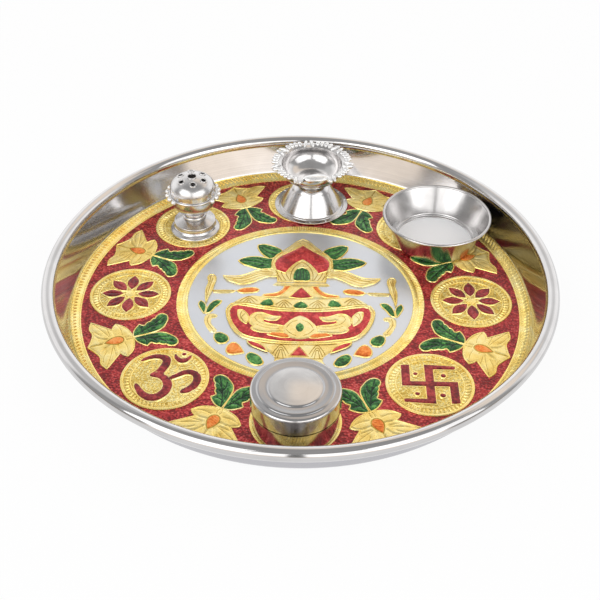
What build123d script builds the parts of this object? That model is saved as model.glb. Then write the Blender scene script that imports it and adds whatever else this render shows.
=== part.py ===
"""A puja thali: a steel tray with a rolled rim and a gilt and enamelled floor, with the
incense stand, oil lamp, offering bowl and lidded kumkum box that stand on it."""
import os
from math import acos, asin, atan2, cos, degrees, hypot, radians, sin, sqrt

from build123d import *

# Tray, in millimetres
rim_radius = 127.0
rim_roll_radius = 3.3
tray_height = 23.5
sheet = 0.8
wall_reach = 16.6
floor_bend = 6.0
roll_meets_wall = 215.0
roll_slit_angle = 250.0
roll_slit = 1.2

# Layers on the floor
ground_thickness = 0.25
border_thickness = 0.5
medallion_thickness = 0.5
sign_thickness = 0.15
flower_thickness = 0.3
heart_thickness = 0.12
leaf_thickness = 0.3
kalash_thickness = 0.4
enamel_thickness = 0.15

# Rings and medallions of the floor
outer_border_climb = 62.0
outer_border_gap = 0.1
disc_share = 0.519
inner_border_width = 6.0
medallion_outer_gap = 2.7
medallion_inner_gap = 3.0
seat_count = 8
sign_margin = 5.5
sign_stroke = 3.2
swastik_share = 0.85
lotus_petals = 8
lotus_petal_width = 5.4
lotus_heart_radius = 2.1

# Radii of the floor that follow
floor_radius = rim_radius - wall_reach
disc_radius = disc_share * floor_radius
inner_border_outside = disc_radius + inner_border_width
medallion_room = floor_radius - inner_border_outside - medallion_outer_gap - medallion_inner_gap
medallion_radius = medallion_room / 2
seat_radius = floor_radius - medallion_outer_gap - medallion_radius

# Flowers between the medallions, and their leaves, in shares of a medallion
flower_radius = seat_radius + 0.392 * medallion_radius
petal_tip_shares = ((0.652, 0), (0.363, 0.76), (-0.294, 0.529), (-0.588, 0), (-0.294, -0.529),
                    (0.363, -0.76))
petal_width = 0.466 * medallion_radius
stem_reach = 0.612 * medallion_radius
heart_length = 0.343 * medallion_radius
heart_width = 0.225 * medallion_radius
leaf_length = 0.956 * medallion_radius
leaf_width = 0.392 * medallion_radius
leaf_spread = 31.0

# Kalash, a little below the centre, in shares of the disc's radius
kalash_rise = -0.026 * disc_radius
coconut_tip = 0.888 * disc_radius
coconut_width = 0.515 * disc_radius
coconut_shoulder = 0.533 * disc_radius
lip_top = 0.249 * disc_radius
lip_width = 0.515 * disc_radius
lip_height = 0.053 * disc_radius
neck_top_width = 0.284 * disc_radius
shoulder_top = 0.014 * disc_radius
shoulder_width = 1.279 * disc_radius
shoulder_height = 0.124 * disc_radius
pot_bottom = -0.568 * disc_radius
foot_width = 0.639 * disc_radius
foot_bottom = -0.746 * disc_radius
fill_margin = 0.039 * disc_radius
coconut_seat_share = 0.7
coconut_slope = 0.45
coconut_pull = 0.9
belly_width_share = 0.86
belly_height_share = 0.6
neck_triangle = 0.188 * disc_radius
foot_triangle = 0.16 * disc_radius
heart_drop = 0.107 * disc_radius
neck_band_width = 0.043 * disc_radius

# Leaves, buds and drops on the kalash's right, with a mirror image on its left:
# the shares of the disc's radius at which each has its base, its tip and its width
gold_leaf = ((0.222, 0.337), (0.71, 0.284), 0.16)
gold_bud = ((0.817, 0.142), (0.835, 0.355), 0.071)
gold_scroll = ((0.799, -0.195), (0.746, -0.426), 0.071)
gold_stem = ((0.586, 0.114), (0.799, 0.114), 0.046)
upper_leaf = ((0.259, 0.675), (0.409, 0.817), 0.142)
lower_leaf = ((0.293, 0.497), (0.568, 0.551), 0.142)
outer_sprig = ((0.808, -0.16), (0.87, 0.018), 0.071)
inner_sprig = ((0.799, -0.16), (0.764, 0.018), 0.071)
upper_drop = ((0.71, -0.462), (0.639, -0.586), 0.089)
lower_drop = ((0.444, -0.746), (0.337, -0.853), 0.089)
orange_slip = ((0.373, 0.114), (0.568, 0.114), 0.06)
orange_drop = ((0.595, -0.604), (0.506, -0.71), 0.089)

# Incense stand
incense_foot_radius = 13.6
incense_foot_flange = 1.1
incense_step_radius = 11.2
incense_step_height = 6.5
incense_foot_height = 8.5
incense_neck_radius = 6.5
incense_neck_height = 4.5
incense_ball_radius = 12.4
incense_cup_height = 10.0
incense_dome_height = 10.2
dome_crown_radius = 22.0
dome_corner_radius = 7.0
incense_wall = 0.6
collar_lip = 0.9
collar_thickness = 1.4
pearl_radius = 1.25
pearl_count = 17
pearl_start = -36.0
pearl_pitch = 16.5
centre_hole_radius = 2.2
dome_hole_radius = 1.3
dome_hole_count = 6
dome_hole_circle = 6.8
dome_hole_turn = 40.0

# Oil lamp
lamp_foot_radius = 20.9
lamp_bell_radius = 17.5
lamp_bell_top_radius = 10.9
lamp_foot_height = 15.5
lamp_shoulder = 3.5
lamp_shoulder_round = 4.5
lamp_neck_radius = 6.9
lamp_neck_height = 1.6
lamp_dish_radius = 17.3
lamp_dish_depth = 10.5
lamp_wall = 0.8
frill_reach = 6.9
frill_thickness = 1.1
frill_petals = 7
frill_petal_radius = 6.8
frill_band = 2.1
spout_width = 6.3
frill_turn = 96.0

# Rivets of the incense stand and the lamp
rivet_radius = 1.5
rivet_clearance = 0.1
rivet_head_radius = 2.8
rivet_head = 0.8

# Offering bowl
bowl_lip_radius = 29.2
bowl_base_radius = 21.2
bowl_height = 17.6
bowl_wall = 0.7
bowl_bend = 1.4
bowl_lip_roll = 0.8

# Kumkum box
box_lid_radius = 20.0
box_lid_skirt = 10.0
box_shoulder_height = 21.5
box_wall = 0.6
box_bend = 1.6
box_slip = 0.3
lid_edge_round = 1.4
lid_step_radius = 16.6
lid_boss_radius = 11.8
lid_step = 0.7

# Where each vessel was set down: its seat's angle, and its shift from the seat's centre
# in shares of a medallion's radius
incense_seat, incense_shift = 135, (0.083, -0.155)
lamp_seat, lamp_shift = 90, (0.198, -0.101)
bowl_seat, bowl_shift = 45, (0.515, -0.47)
box_seat, box_shift = 270, (0.005, -0.056)

# Heights that follow
floor_top = sheet
ground_top = floor_top + ground_thickness
seat_top = ground_top + medallion_thickness
flower_top = ground_top + flower_thickness
kalash_top = floor_top + kalash_thickness

# Radii of the vessels that follow
rivet_bore = rivet_radius + rivet_clearance
collar_radius = incense_ball_radius + collar_lip

os.makedirs("parts", exist_ok=True)


def finish(builder, name):
    """Label one finished piece and write it as a STEP file."""
    builder.part.label = name
    export_step(builder.part, f"parts/{name}.step")


def polar(radius, angle):
    """The flat point at this radius and this angle in degrees."""
    return (radius * cos(radians(angle)), radius * sin(radians(angle)))


def vessel_place(seat_angle, shift):
    """The point under a vessel's middle, on top of its seat."""
    x, y = polar(seat_radius, seat_angle)
    return (x + shift[0] * medallion_radius, y + shift[1] * medallion_radius, seat_top)


def side_plane(place):
    """The upright plane through a vessel's axis, where its turned profile is drawn."""
    return Plane(place, x_dir=(1, 0, 0), z_dir=(0, -1, 0))


def upright(place):
    """The axis that a vessel is turned about."""
    return Axis(place, (0, 0, 1))


def leaf_face(base, tip, width):
    """A pointed leaf from base to tip, in the sketch that is open."""
    base, tip = Vector(base), Vector(tip)
    along = tip - base
    across = Vector(-along.Y, along.X).normalized() * (width / 2)
    middle = (base + tip) / 2
    with BuildLine() as outline:
        ThreePointArc(base, middle + across, tip)
        ThreePointArc(tip, middle - across, base)
    make_face(outline.edges())


def mirrored_leaves(base, tip, width):
    """A leaf and its mirror image across the kalash's middle line."""
    leaf_face(base, tip, width)
    leaf_face(Vector(-base.X, base.Y), Vector(-tip.X, tip.Y), width)


def on_disc(leaf):
    """A leaf's base, tip and width in millimetres, from its shares of the disc's radius."""
    base, tip, width = leaf
    return (Vector(*base) * disc_radius, Vector(*tip) * disc_radius, width * disc_radius)


def kalash_plane(height):
    """The level plane at this height, with its origin in the middle of the kalash."""
    return Plane((0, kalash_rise, height))


def coconut_face(tip, half_width, shoulder, bottom):
    """The coconut: a pointed top over round cheeks that draw in to its seat."""
    half_seat = coconut_seat_share * half_width
    slope, pull = coconut_slope, (coconut_pull, coconut_pull)
    with BuildLine() as outline:
        Spline((0, tip), (half_width, shoulder), (half_seat, bottom),
               tangents=((slope, -1), (-slope, -1)), tangent_scalars=pull)
        Line((half_seat, bottom), (-half_seat, bottom))
        Spline((-half_seat, bottom), (-half_width, shoulder), (0, tip),
               tangents=((-slope, 1), (slope, 1)), tangent_scalars=pull)
    make_face(outline.edges())


def pot_face(half_width, top, half_foot, bottom):
    """The pot's belly, seen from the side: full at the top and drawn in to its foot."""
    belly = (half_width * belly_width_share, top + (bottom - top) * belly_height_share)
    with BuildLine() as outline:
        Line((-half_width, top), (half_width, top))
        ThreePointArc((half_width, top), belly, (half_foot, bottom))
        Line((half_foot, bottom), (-half_foot, bottom))
        ThreePointArc((-half_foot, bottom), (-belly[0], belly[1]), (-half_width, top))
    make_face(outline.edges())


# Tray
with BuildPart() as thali_plate:
    roll_centre = Vector(rim_radius - rim_roll_radius, tray_height - rim_roll_radius)
    roll_inside = rim_roll_radius - sheet
    wall_top = roll_centre + Vector(*polar(roll_inside, roll_meets_wall))
    outer_bend = floor_bend + sheet
    to_wall_top = wall_top - Vector(floor_radius, outer_bend)
    wall_turn = atan2(to_wall_top.Y, to_wall_top.X) + asin(outer_bend / hypot(to_wall_top.X, to_wall_top.Y))
    with BuildSketch(Plane.XZ):
        with BuildLine():
            Line((0, 0), (floor_radius, 0))
            bend = JernArc((floor_radius, 0), (1, 0), outer_bend, degrees(wall_turn))
            Line(bend @ 1, wall_top)
            offset(amount=sheet, side=Side.LEFT)
        make_face()
        with Locations(roll_centre):
            Circle(rim_roll_radius)
            Circle(roll_inside, mode=Mode.SUBTRACT)
            with PolarLocations(roll_inside + sheet / 2, 1, start_angle=roll_slit_angle):
                Rectangle(3 * sheet, roll_slit, mode=Mode.SUBTRACT)
    revolve(axis=Axis.Z)
finish(thali_plate, "thali_plate")

# Enamel ground and gilt borders
with BuildPart() as red_enamel_ground:
    with BuildSketch(Plane.XY.offset(floor_top)):
        Circle(floor_radius)
        Circle(inner_border_outside, mode=Mode.SUBTRACT)
    extrude(amount=ground_thickness)
finish(red_enamel_ground, "red_enamel_ground")

with BuildPart() as outer_gold_border:
    bend_centre = (floor_radius, floor_top + floor_bend)
    border_bend = floor_bend - outer_border_gap
    with BuildSketch(Plane.XZ):
        with BuildLine():
            outside = CenterArc(bend_centre, border_bend, -90, outer_border_climb)
            inside = CenterArc(bend_centre, border_bend - border_thickness, -90, outer_border_climb)
            Line(outside @ 0, inside @ 0)
            Line(outside @ 1, inside @ 1)
        make_face()
    revolve(axis=Axis.Z)
finish(outer_gold_border, "outer_gold_border")

with BuildPart() as inner_gold_border:
    with BuildSketch(Plane.XY.offset(floor_top)):
        Circle(inner_border_outside)
        Circle(disc_radius, mode=Mode.SUBTRACT)
    extrude(amount=border_thickness)
finish(inner_gold_border, "inner_gold_border")

# Medallions, and the signs on the four that stay open
with BuildPart() as gold_medallions:
    with BuildSketch(Plane.XY.offset(ground_top)):
        with PolarLocations(seat_radius, seat_count):
            Circle(medallion_radius)
    extrude(amount=medallion_thickness)
finish(gold_medallions, "gold_medallions")


def sign_plane(angle):
    """The top of the medallion on this seat, with Y pointing to the back of the tray."""
    return Plane((*polar(seat_radius, angle), seat_top))


sign_radius = medallion_radius - sign_margin

with BuildPart() as swastik_sign:
    arm = sign_radius * swastik_share
    with BuildSketch(sign_plane(315)):
        Rectangle(2 * arm, sign_stroke)
        Rectangle(sign_stroke, 2 * arm)
        with PolarLocations(0, 4):
            with Locations((arm - sign_stroke / 2, -arm / 2)):
                Rectangle(sign_stroke, arm)
        with GridLocations(arm, arm, 2, 2):
            Circle(sign_stroke * 0.4)
    extrude(amount=sign_thickness)
finish(swastik_sign, "swastik_sign")

with BuildPart() as om_sign:
    upper, lower = 0.29 * sign_radius, 0.37 * sign_radius
    with BuildSketch(sign_plane(225)):
        with Locations((-0.42 * sign_radius, 0)):
            with BuildLine(mode=Mode.PRIVATE) as upper_bowl:
                CenterArc((0, upper), upper, -90, 230)
            SlotArc(upper_bowl.edge(), sign_stroke)
            with BuildLine(mode=Mode.PRIVATE) as lower_bowl:
                CenterArc((0, -lower), lower, -150, 240)
            SlotArc(lower_bowl.edge(), sign_stroke)
        with BuildLine(mode=Mode.PRIVATE) as tail:
            ThreePointArc((-0.25 * sign_radius, 0), (0.3 * sign_radius, 0.12 * sign_radius),
                          (0.62 * sign_radius, -0.5 * sign_radius))
        SlotArc(tail.edge(), sign_stroke)
        with BuildLine(mode=Mode.PRIVATE) as crescent:
            CenterArc((0.42 * sign_radius, 0.78 * sign_radius), 0.34 * sign_radius, 200, 140)
        SlotArc(crescent.edge(), sign_stroke * 0.7)
        with Locations((0.42 * sign_radius, 0.86 * sign_radius)):
            Circle(sign_stroke * 0.45)
    extrude(amount=sign_thickness)
finish(om_sign, "om_sign")

with BuildPart() as lotus_signs:
    for angle in (0, 180):
        with BuildSketch(sign_plane(angle)):
            for petal in range(lotus_petals):
                turn = petal * 360 / lotus_petals
                leaf_face(polar(sign_stroke, turn), polar(sign_radius, turn), lotus_petal_width)
            Circle(lotus_heart_radius)
        extrude(amount=sign_thickness)
finish(lotus_signs, "lotus_signs")

# Flowers, their hearts and their leaves, one set between each two medallions
flower_angles = [(step + 0.5) * 360 / seat_count for step in range(seat_count)]


def flower_plane(angle, height):
    """The middle of one flower, with X pointing out from the tray's centre."""
    return Plane((*polar(flower_radius, angle), height), x_dir=(*polar(1, angle), 0))


with BuildPart() as flower_petals:
    for angle in flower_angles:
        with BuildSketch(flower_plane(angle, ground_top)):
            for share in petal_tip_shares:
                leaf_face((0, 0), Vector(*share) * medallion_radius, petal_width)
            Circle(petal_width / 2)
        extrude(amount=flower_thickness)
finish(flower_petals, "flower_petals")

with BuildPart() as flower_hearts:
    for angle in flower_angles:
        with BuildSketch(flower_plane(angle, flower_top)):
            leaf_face((-heart_length / 2, 0), (heart_length / 2, 0), heart_width)
        extrude(amount=heart_thickness)
finish(flower_hearts, "flower_hearts")

with BuildPart() as flower_leaves:
    for angle in flower_angles:
        for side in (-1, 1):
            turn = radians(side * leaf_spread)
            base = (-stem_reach, side * leaf_width / 4)
            tip = (base[0] - leaf_length * cos(turn), base[1] + leaf_length * sin(turn))
            with BuildSketch(flower_plane(angle, ground_top)):
                leaf_face(base, tip, leaf_width)
            extrude(amount=leaf_thickness)
finish(flower_leaves, "flower_leaves")

# Kalash: gilding on the steel, with enamel laid on it
lip_bottom = lip_top - lip_height
shoulder_bottom = shoulder_top - shoulder_height
foot_fill = (pot_bottom + foot_bottom) / 2

with BuildPart() as kalash_gilding:
    with BuildSketch(kalash_plane(floor_top)):
        coconut_face(coconut_tip, coconut_width / 2, coconut_shoulder, lip_top)
        with Locations((0, (lip_top + lip_bottom) / 2)):
            Rectangle(lip_width, lip_height)
        Polygon((-neck_top_width / 2, lip_bottom), (neck_top_width / 2, lip_bottom),
                (foot_width / 2, shoulder_top), (-foot_width / 2, shoulder_top), align=None)
        with Locations((0, (shoulder_top + shoulder_bottom) / 2)):
            Rectangle(shoulder_width, shoulder_height)
        pot_face(shoulder_width / 2, shoulder_bottom, foot_width / 2, pot_bottom)
        with Locations((0, foot_fill)):
            Rectangle(foot_width, pot_bottom - foot_bottom)
        for leaf in (gold_leaf, gold_bud, gold_scroll, gold_stem):
            mirrored_leaves(*on_disc(leaf))
    extrude(amount=kalash_thickness)
finish(kalash_gilding, "kalash_gilding")

with BuildPart() as kalash_red_enamel:
    with BuildSketch(kalash_plane(kalash_top)):
        coconut_face(coconut_tip - 2 * fill_margin, coconut_width / 2 - fill_margin,
                     coconut_shoulder, lip_top + heart_drop + fill_margin)
        pot_face(shoulder_width / 2 - fill_margin, shoulder_bottom - fill_margin / 2,
                 foot_width / 2, pot_bottom + fill_margin)
        Polygon((0, lip_bottom - fill_margin), (-neck_triangle / 2, shoulder_top),
                (neck_triangle / 2, shoulder_top), align=None)
        Polygon((0, pot_bottom - fill_margin), (-foot_triangle / 2, foot_bottom + fill_margin / 2),
                (foot_triangle / 2, foot_bottom + fill_margin / 2), align=None)
    extrude(amount=enamel_thickness)
finish(kalash_red_enamel, "kalash_red_enamel")

with BuildPart() as kalash_green_enamel:
    with BuildSketch(kalash_plane(floor_top)):
        for leaf in (upper_leaf, lower_leaf, outer_sprig, inner_sprig, upper_drop, lower_drop):
            mirrored_leaves(*on_disc(leaf))
    extrude(amount=kalash_thickness)
    with BuildSketch(kalash_plane(kalash_top)):
        drop_middle = (shoulder_top + shoulder_bottom) / 2
        drop = shoulder_height - fill_margin
        drop_foot = lip_top + fill_margin / 2
        leaf_face((0, drop_foot), (0, drop_foot + heart_drop), heart_drop / 2)
        for side in (-1, 0, 1):
            reach = side * shoulder_width / 4
            leaf_face((reach, drop_middle - drop / 2), (reach, drop_middle + drop / 2), drop)
    extrude(amount=enamel_thickness)
finish(kalash_green_enamel, "kalash_green_enamel")

with BuildPart() as kalash_orange_enamel:
    with BuildSketch(kalash_plane(floor_top)):
        for leaf in (orange_slip, orange_drop):
            mirrored_leaves(*on_disc(leaf))
    extrude(amount=kalash_thickness)
    with BuildSketch(kalash_plane(kalash_top)):
        mirrored_leaves(Vector(neck_top_width / 2, lip_bottom),
                        Vector(foot_width / 2 - fill_margin, shoulder_top), neck_band_width)
    extrude(amount=enamel_thickness)
finish(kalash_orange_enamel, "kalash_orange_enamel")


def rivet(place, bottom, top):
    """A shank with a head at each end, clamping the pieces between the two heights."""
    seated = (Align.CENTER, Align.CENTER, Align.MIN)
    with Locations(Plane(place).offset(bottom)):
        Cylinder(rivet_radius, top - bottom, align=seated)
    with Locations(Plane(place).offset(bottom - rivet_head), Plane(place).offset(top)):
        Cylinder(rivet_head_radius, rivet_head, align=seated)


# Incense stand
incense_place = vessel_place(incense_seat, incense_shift)
incense_cup_floor = incense_foot_height + incense_neck_height
incense_equator = incense_cup_floor + incense_cup_height
collar_top = incense_equator + collar_thickness
dome_top = collar_top + incense_dome_height

with BuildPart() as incense_foot:
    waist = incense_step_radius - 2 * incense_wall
    with BuildSketch(side_plane(incense_place)):
        with BuildLine():
            Polyline((incense_foot_radius - incense_wall, 0), (incense_foot_radius, 0),
                     (incense_foot_radius, incense_foot_flange), (waist, 2 * incense_foot_flange))
            ThreePointArc((waist, 2 * incense_foot_flange),
                          (waist - incense_wall / 2, (incense_step_height + incense_foot_flange) / 2),
                          (incense_step_radius, incense_step_height))
            Polyline((incense_step_radius, incense_step_height),
                     (incense_neck_radius, incense_foot_height), (rivet_bore, incense_foot_height),
                     (rivet_bore, incense_foot_height - incense_wall),
                     (incense_neck_radius, incense_foot_height - incense_wall),
                     (waist - 2 * incense_wall, incense_step_height - incense_wall),
                     (waist - 2 * incense_wall, 2 * incense_foot_flange),
                     (incense_foot_radius - incense_wall, incense_foot_flange / 2),
                     (incense_foot_radius - incense_wall, 0))
        make_face()
    revolve(axis=upright(incense_place))
finish(incense_foot, "incense_foot")

with BuildPart() as incense_neck:
    ring = incense_neck_height / 2
    with BuildSketch(side_plane(incense_place)):
        with BuildLine():
            Line((rivet_bore, incense_foot_height), (incense_neck_radius - ring / 2, incense_foot_height))
            for step in range(2):
                low = incense_foot_height + step * ring
                ThreePointArc((incense_neck_radius - ring / 2, low),
                              (incense_neck_radius, low + ring / 2),
                              (incense_neck_radius - ring / 2, low + ring))
            Polyline((incense_neck_radius - ring / 2, incense_cup_floor), (rivet_bore, incense_cup_floor),
                     (rivet_bore, incense_foot_height))
        make_face()
    revolve(axis=upright(incense_place))
finish(incense_neck, "incense_neck")

with BuildPart() as incense_cup:
    with BuildSketch(side_plane(incense_place)):
        with BuildLine():
            Line((rivet_bore, incense_cup_floor), (incense_neck_radius - ring / 2, incense_cup_floor))
            TangentArc((incense_neck_radius - ring / 2, incense_cup_floor),
                       (incense_ball_radius, incense_equator),
                       tangent=(0, -1), tangent_from_first=False)
            offset(amount=incense_wall, side=Side.LEFT)
        make_face()
    revolve(axis=upright(incense_place))
finish(incense_cup, "incense_cup")

with BuildPart() as incense_collar:
    pearl_circle = collar_radius + pearl_radius / 2
    with BuildSketch(Plane(incense_place).offset(incense_equator)):
        Circle(collar_radius)
        for pearl in range(pearl_count):
            with Locations(polar(pearl_circle, pearl_start + pearl * pearl_pitch)):
                Circle(pearl_radius)
        Circle(incense_ball_radius - incense_wall, mode=Mode.SUBTRACT)
    extrude(amount=collar_thickness)
finish(incense_collar, "incense_collar")

with BuildPart() as incense_dome:
    crown_centre = dome_top - dome_crown_radius
    corner_reach = incense_ball_radius - dome_corner_radius
    corner_turn = degrees(acos(corner_reach / (dome_crown_radius - dome_corner_radius)))
    corner_height = crown_centre + sqrt((dome_crown_radius - dome_corner_radius) ** 2 - corner_reach ** 2)
    with BuildSketch(side_plane(incense_place)):
        with BuildLine():
            Line((incense_ball_radius, collar_top), (incense_ball_radius, corner_height))
            CenterArc((corner_reach, corner_height), dome_corner_radius, 0, corner_turn)
            CenterArc((0, crown_centre), dome_crown_radius, corner_turn, 90 - corner_turn)
            Line((0, dome_top), (0, dome_top - incense_wall))
            CenterArc((0, crown_centre), dome_crown_radius - incense_wall, 90, corner_turn - 90)
            CenterArc((corner_reach, corner_height), dome_corner_radius - incense_wall, corner_turn, -corner_turn)
            Polyline((incense_ball_radius - incense_wall, corner_height),
                     (incense_ball_radius - incense_wall, collar_top),
                     (incense_ball_radius, collar_top))
        make_face()
    revolve(axis=upright(incense_place))
    drill_start = Vector(*incense_place) + Vector(0, 0, crown_centre)
    drill_length = dome_crown_radius + incense_wall
    with Locations(Plane(drill_start)):
        Cylinder(centre_hole_radius, drill_length, mode=Mode.SUBTRACT,
                 align=(Align.CENTER, Align.CENTER, Align.MIN))
    for hole in range(dome_hole_count):
        turn = radians(dome_hole_turn + hole * 360 / dome_hole_count)
        tilt = asin(dome_hole_circle / dome_crown_radius)
        outward = (sin(tilt) * cos(turn), sin(tilt) * sin(turn), cos(tilt))
        with Locations(Plane(drill_start, z_dir=outward)):
            Cylinder(dome_hole_radius, drill_length, mode=Mode.SUBTRACT,
                     align=(Align.CENTER, Align.CENTER, Align.MIN))
finish(incense_dome, "incense_dome")

with BuildPart() as incense_rivet:
    rivet(incense_place, incense_foot_height - incense_wall, incense_cup_floor + incense_wall)
finish(incense_rivet, "incense_rivet")

# Oil lamp
lamp_place = vessel_place(lamp_seat, lamp_shift)
dish_bottom = lamp_foot_height + lamp_neck_height
dish_top = dish_bottom + lamp_dish_depth
dish_curve = lamp_dish_depth - frill_thickness

with BuildPart() as lamp_foot:
    bell_end = lamp_foot_height - lamp_shoulder
    with BuildSketch(side_plane(lamp_place)):
        with BuildLine():
            Polyline((lamp_foot_radius, lamp_wall), (lamp_bell_radius, lamp_wall),
                     (lamp_bell_top_radius, bell_end))
            RadiusArc((lamp_bell_top_radius, bell_end), (lamp_neck_radius, lamp_foot_height),
                      -lamp_shoulder_round)
            Line((lamp_neck_radius, lamp_foot_height), (rivet_bore, lamp_foot_height))
            offset(amount=lamp_wall, side=Side.LEFT)
        make_face()
    revolve(axis=upright(lamp_place))
finish(lamp_foot, "lamp_foot")

with BuildPart() as lamp_neck:
    with BuildSketch(side_plane(lamp_place)):
        with BuildLine():
            Line((rivet_bore, lamp_foot_height),
                 (lamp_neck_radius - lamp_neck_height / 2, lamp_foot_height))
            ThreePointArc((lamp_neck_radius - lamp_neck_height / 2, lamp_foot_height),
                          (lamp_neck_radius, lamp_foot_height + lamp_neck_height / 2),
                          (lamp_neck_radius - lamp_neck_height / 2, dish_bottom))
            Polyline((lamp_neck_radius - lamp_neck_height / 2, dish_bottom), (rivet_bore, dish_bottom),
                     (rivet_bore, lamp_foot_height))
        make_face()
    revolve(axis=upright(lamp_place))
finish(lamp_neck, "lamp_neck")

with BuildPart() as lamp_dish:
    with BuildSketch(side_plane(lamp_place)):
        with BuildLine():
            flat = Line((rivet_bore, dish_bottom), (lamp_dish_radius - dish_curve, dish_bottom))
            side = JernArc(flat @ 1, (1, 0), dish_curve, 90)
            Line(side @ 1, (lamp_dish_radius, dish_top))
            offset(amount=lamp_wall, side=Side.LEFT)
        make_face()
    revolve(axis=upright(lamp_place))
finish(lamp_dish, "lamp_dish")

with BuildPart() as lamp_frill:
    frill_radius = lamp_dish_radius + frill_reach
    with BuildSketch(Plane(lamp_place).offset(dish_top - frill_thickness)):
        Circle(lamp_dish_radius + frill_band)
        between_spouts = frill_turn + 180 / frill_petals
        with PolarLocations(frill_radius - frill_petal_radius, frill_petals, start_angle=between_spouts):
            Circle(frill_petal_radius)
        for petal in range(frill_petals):
            turn = frill_turn + petal * 360 / frill_petals
            leaf_face(polar(lamp_dish_radius - lamp_wall, turn), polar(frill_radius, turn), spout_width)
        Circle(lamp_dish_radius, mode=Mode.SUBTRACT)
    extrude(amount=frill_thickness)
finish(lamp_frill, "lamp_frill")

with BuildPart() as lamp_rivet:
    rivet(lamp_place, lamp_foot_height - lamp_wall, dish_bottom + lamp_wall)
finish(lamp_rivet, "lamp_rivet")

# Offering bowl
bowl_place = vessel_place(bowl_seat, bowl_shift)

with BuildPart() as offering_bowl:
    roll_x, roll_z = bowl_lip_radius - bowl_lip_roll, bowl_height - bowl_lip_roll
    with BuildSketch(side_plane(bowl_place)):
        with BuildLine():
            FilletPolyline((0, 0), (bowl_base_radius, 0), (roll_x, roll_z), radius=bowl_bend)
            offset(amount=bowl_wall, side=Side.LEFT)
        make_face()
        with Locations((roll_x, roll_z)):
            Circle(bowl_lip_roll)
    revolve(axis=upright(bowl_place))
finish(offering_bowl, "offering_bowl")

# Kumkum box
box_place = vessel_place(box_seat, box_shift)
lid_ceiling = box_shoulder_height - box_wall
box_radius = box_lid_radius - box_wall - box_slip
mouth_radius = box_lid_radius - lid_edge_round - box_slip
mouth_start = lid_ceiling - lid_edge_round - box_slip

with BuildPart() as box_body:
    with BuildSketch(side_plane(box_place)):
        with BuildLine():
            FilletPolyline((0, 0), (box_radius, 0), (box_radius, mouth_start), (mouth_radius, lid_ceiling),
                           radius=box_bend)
            offset(amount=box_wall, side=Side.LEFT)
        make_face()
    revolve(axis=upright(box_place))
finish(box_body, "box_body")

with BuildPart() as box_lid:
    step_top = box_shoulder_height + lid_step
    boss_top = step_top + lid_step
    with BuildSketch(side_plane(box_place)):
        with BuildLine():
            FilletPolyline((box_lid_radius, box_shoulder_height - box_lid_skirt),
                           (box_lid_radius, box_shoulder_height),
                           (lid_step_radius, box_shoulder_height), radius=lid_edge_round)
            Polyline((lid_step_radius, box_shoulder_height), (lid_step_radius, step_top),
                     (lid_boss_radius, step_top), (lid_boss_radius, boss_top), (0, boss_top))
            offset(amount=box_wall, side=Side.LEFT)
        make_face()
    revolve(axis=upright(box_place))
finish(box_lid, "box_lid")
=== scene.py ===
# %% [markdown]
# # A puja thali, dressed in Blender
# The tray and its vessels come from the CAD model, which fixes every place and size. Here each
# solid gets the form and finish that the eye sees: spun steel, stippled gilding, glossy enamel.
# We load that model first; the boxes of its parts give the axes of the vessels.

# %% Load the imported model
from math import acos, asin, atan2, cos, degrees, exp, pi, radians, sin

import bmesh
import bpy
import numpy as np
from mathutils import Matrix, Quaternion, Vector
from mathutils.geometry import delaunay_2d_cdt


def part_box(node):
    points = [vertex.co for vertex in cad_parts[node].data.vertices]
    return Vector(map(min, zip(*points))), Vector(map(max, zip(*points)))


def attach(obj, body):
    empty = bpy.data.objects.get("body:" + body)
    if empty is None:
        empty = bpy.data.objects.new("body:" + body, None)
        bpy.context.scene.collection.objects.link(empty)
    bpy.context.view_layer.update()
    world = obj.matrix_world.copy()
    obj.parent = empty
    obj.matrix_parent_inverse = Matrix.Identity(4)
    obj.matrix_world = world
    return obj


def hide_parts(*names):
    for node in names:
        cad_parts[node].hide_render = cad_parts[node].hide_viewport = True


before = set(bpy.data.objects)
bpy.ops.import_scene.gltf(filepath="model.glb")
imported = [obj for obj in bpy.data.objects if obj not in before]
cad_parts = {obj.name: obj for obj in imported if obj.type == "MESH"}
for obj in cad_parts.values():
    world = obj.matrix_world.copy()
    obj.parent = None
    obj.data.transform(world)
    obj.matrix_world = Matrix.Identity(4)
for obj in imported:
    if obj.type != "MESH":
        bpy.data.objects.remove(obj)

MM = 0.001
scene = bpy.context.scene
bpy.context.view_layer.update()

# %% [markdown]
# ## Camera
# The ellipses of the rim and of the floor's rings tell how steeply we look down, and how much
# larger the near flowers are than the far ones tells how close we stand: about half a metre.

# %% Camera
view_azimuth = radians(1.12)
view_elevation = radians(39.3)
view_roll = radians(0.51)
view_distance = 0.515
back = Vector((sin(view_azimuth) * cos(view_elevation), -cos(view_azimuth) * cos(view_elevation),
               sin(view_elevation)))
aim = Vector((-0.2, 0, -0.55)) * MM
camera_data = bpy.data.cameras.new("camera")
camera_data.sensor_width = 36.0
camera_data.lens = 60.35
camera = bpy.data.objects.new("camera", camera_data)
camera.location = aim + back * view_distance
camera.rotation_euler = (back.to_track_quat("Z", "Y") @ Quaternion((0, 0, 1), view_roll)).to_euler()
scene.collection.objects.link(camera)
scene.camera = camera
scene.view_settings.view_transform = "Standard"
print("camera at", [round(v, 3) for v in camera.location])

# %% [markdown]
# ## A small language for finishes
# A finish is a tree of shader nodes. Wiring each node by hand hides the idea, so one class wraps
# a socket and lets us write sums on it, and another adds any node in one call.


# %% Sockets that can be added and multiplied
class Wire:
    """A shader socket that takes part in Python sums by adding Math nodes."""

    def __init__(self, finish, socket):
        self.finish = finish
        self.socket = socket

    def math(self, operation, first, second=0.0):
        return self.finish.node("ShaderNodeMath", {"operation": operation}, {0: first, 1: second})

    def __abs__(self):
        return self.math("ABSOLUTE", self)


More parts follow.
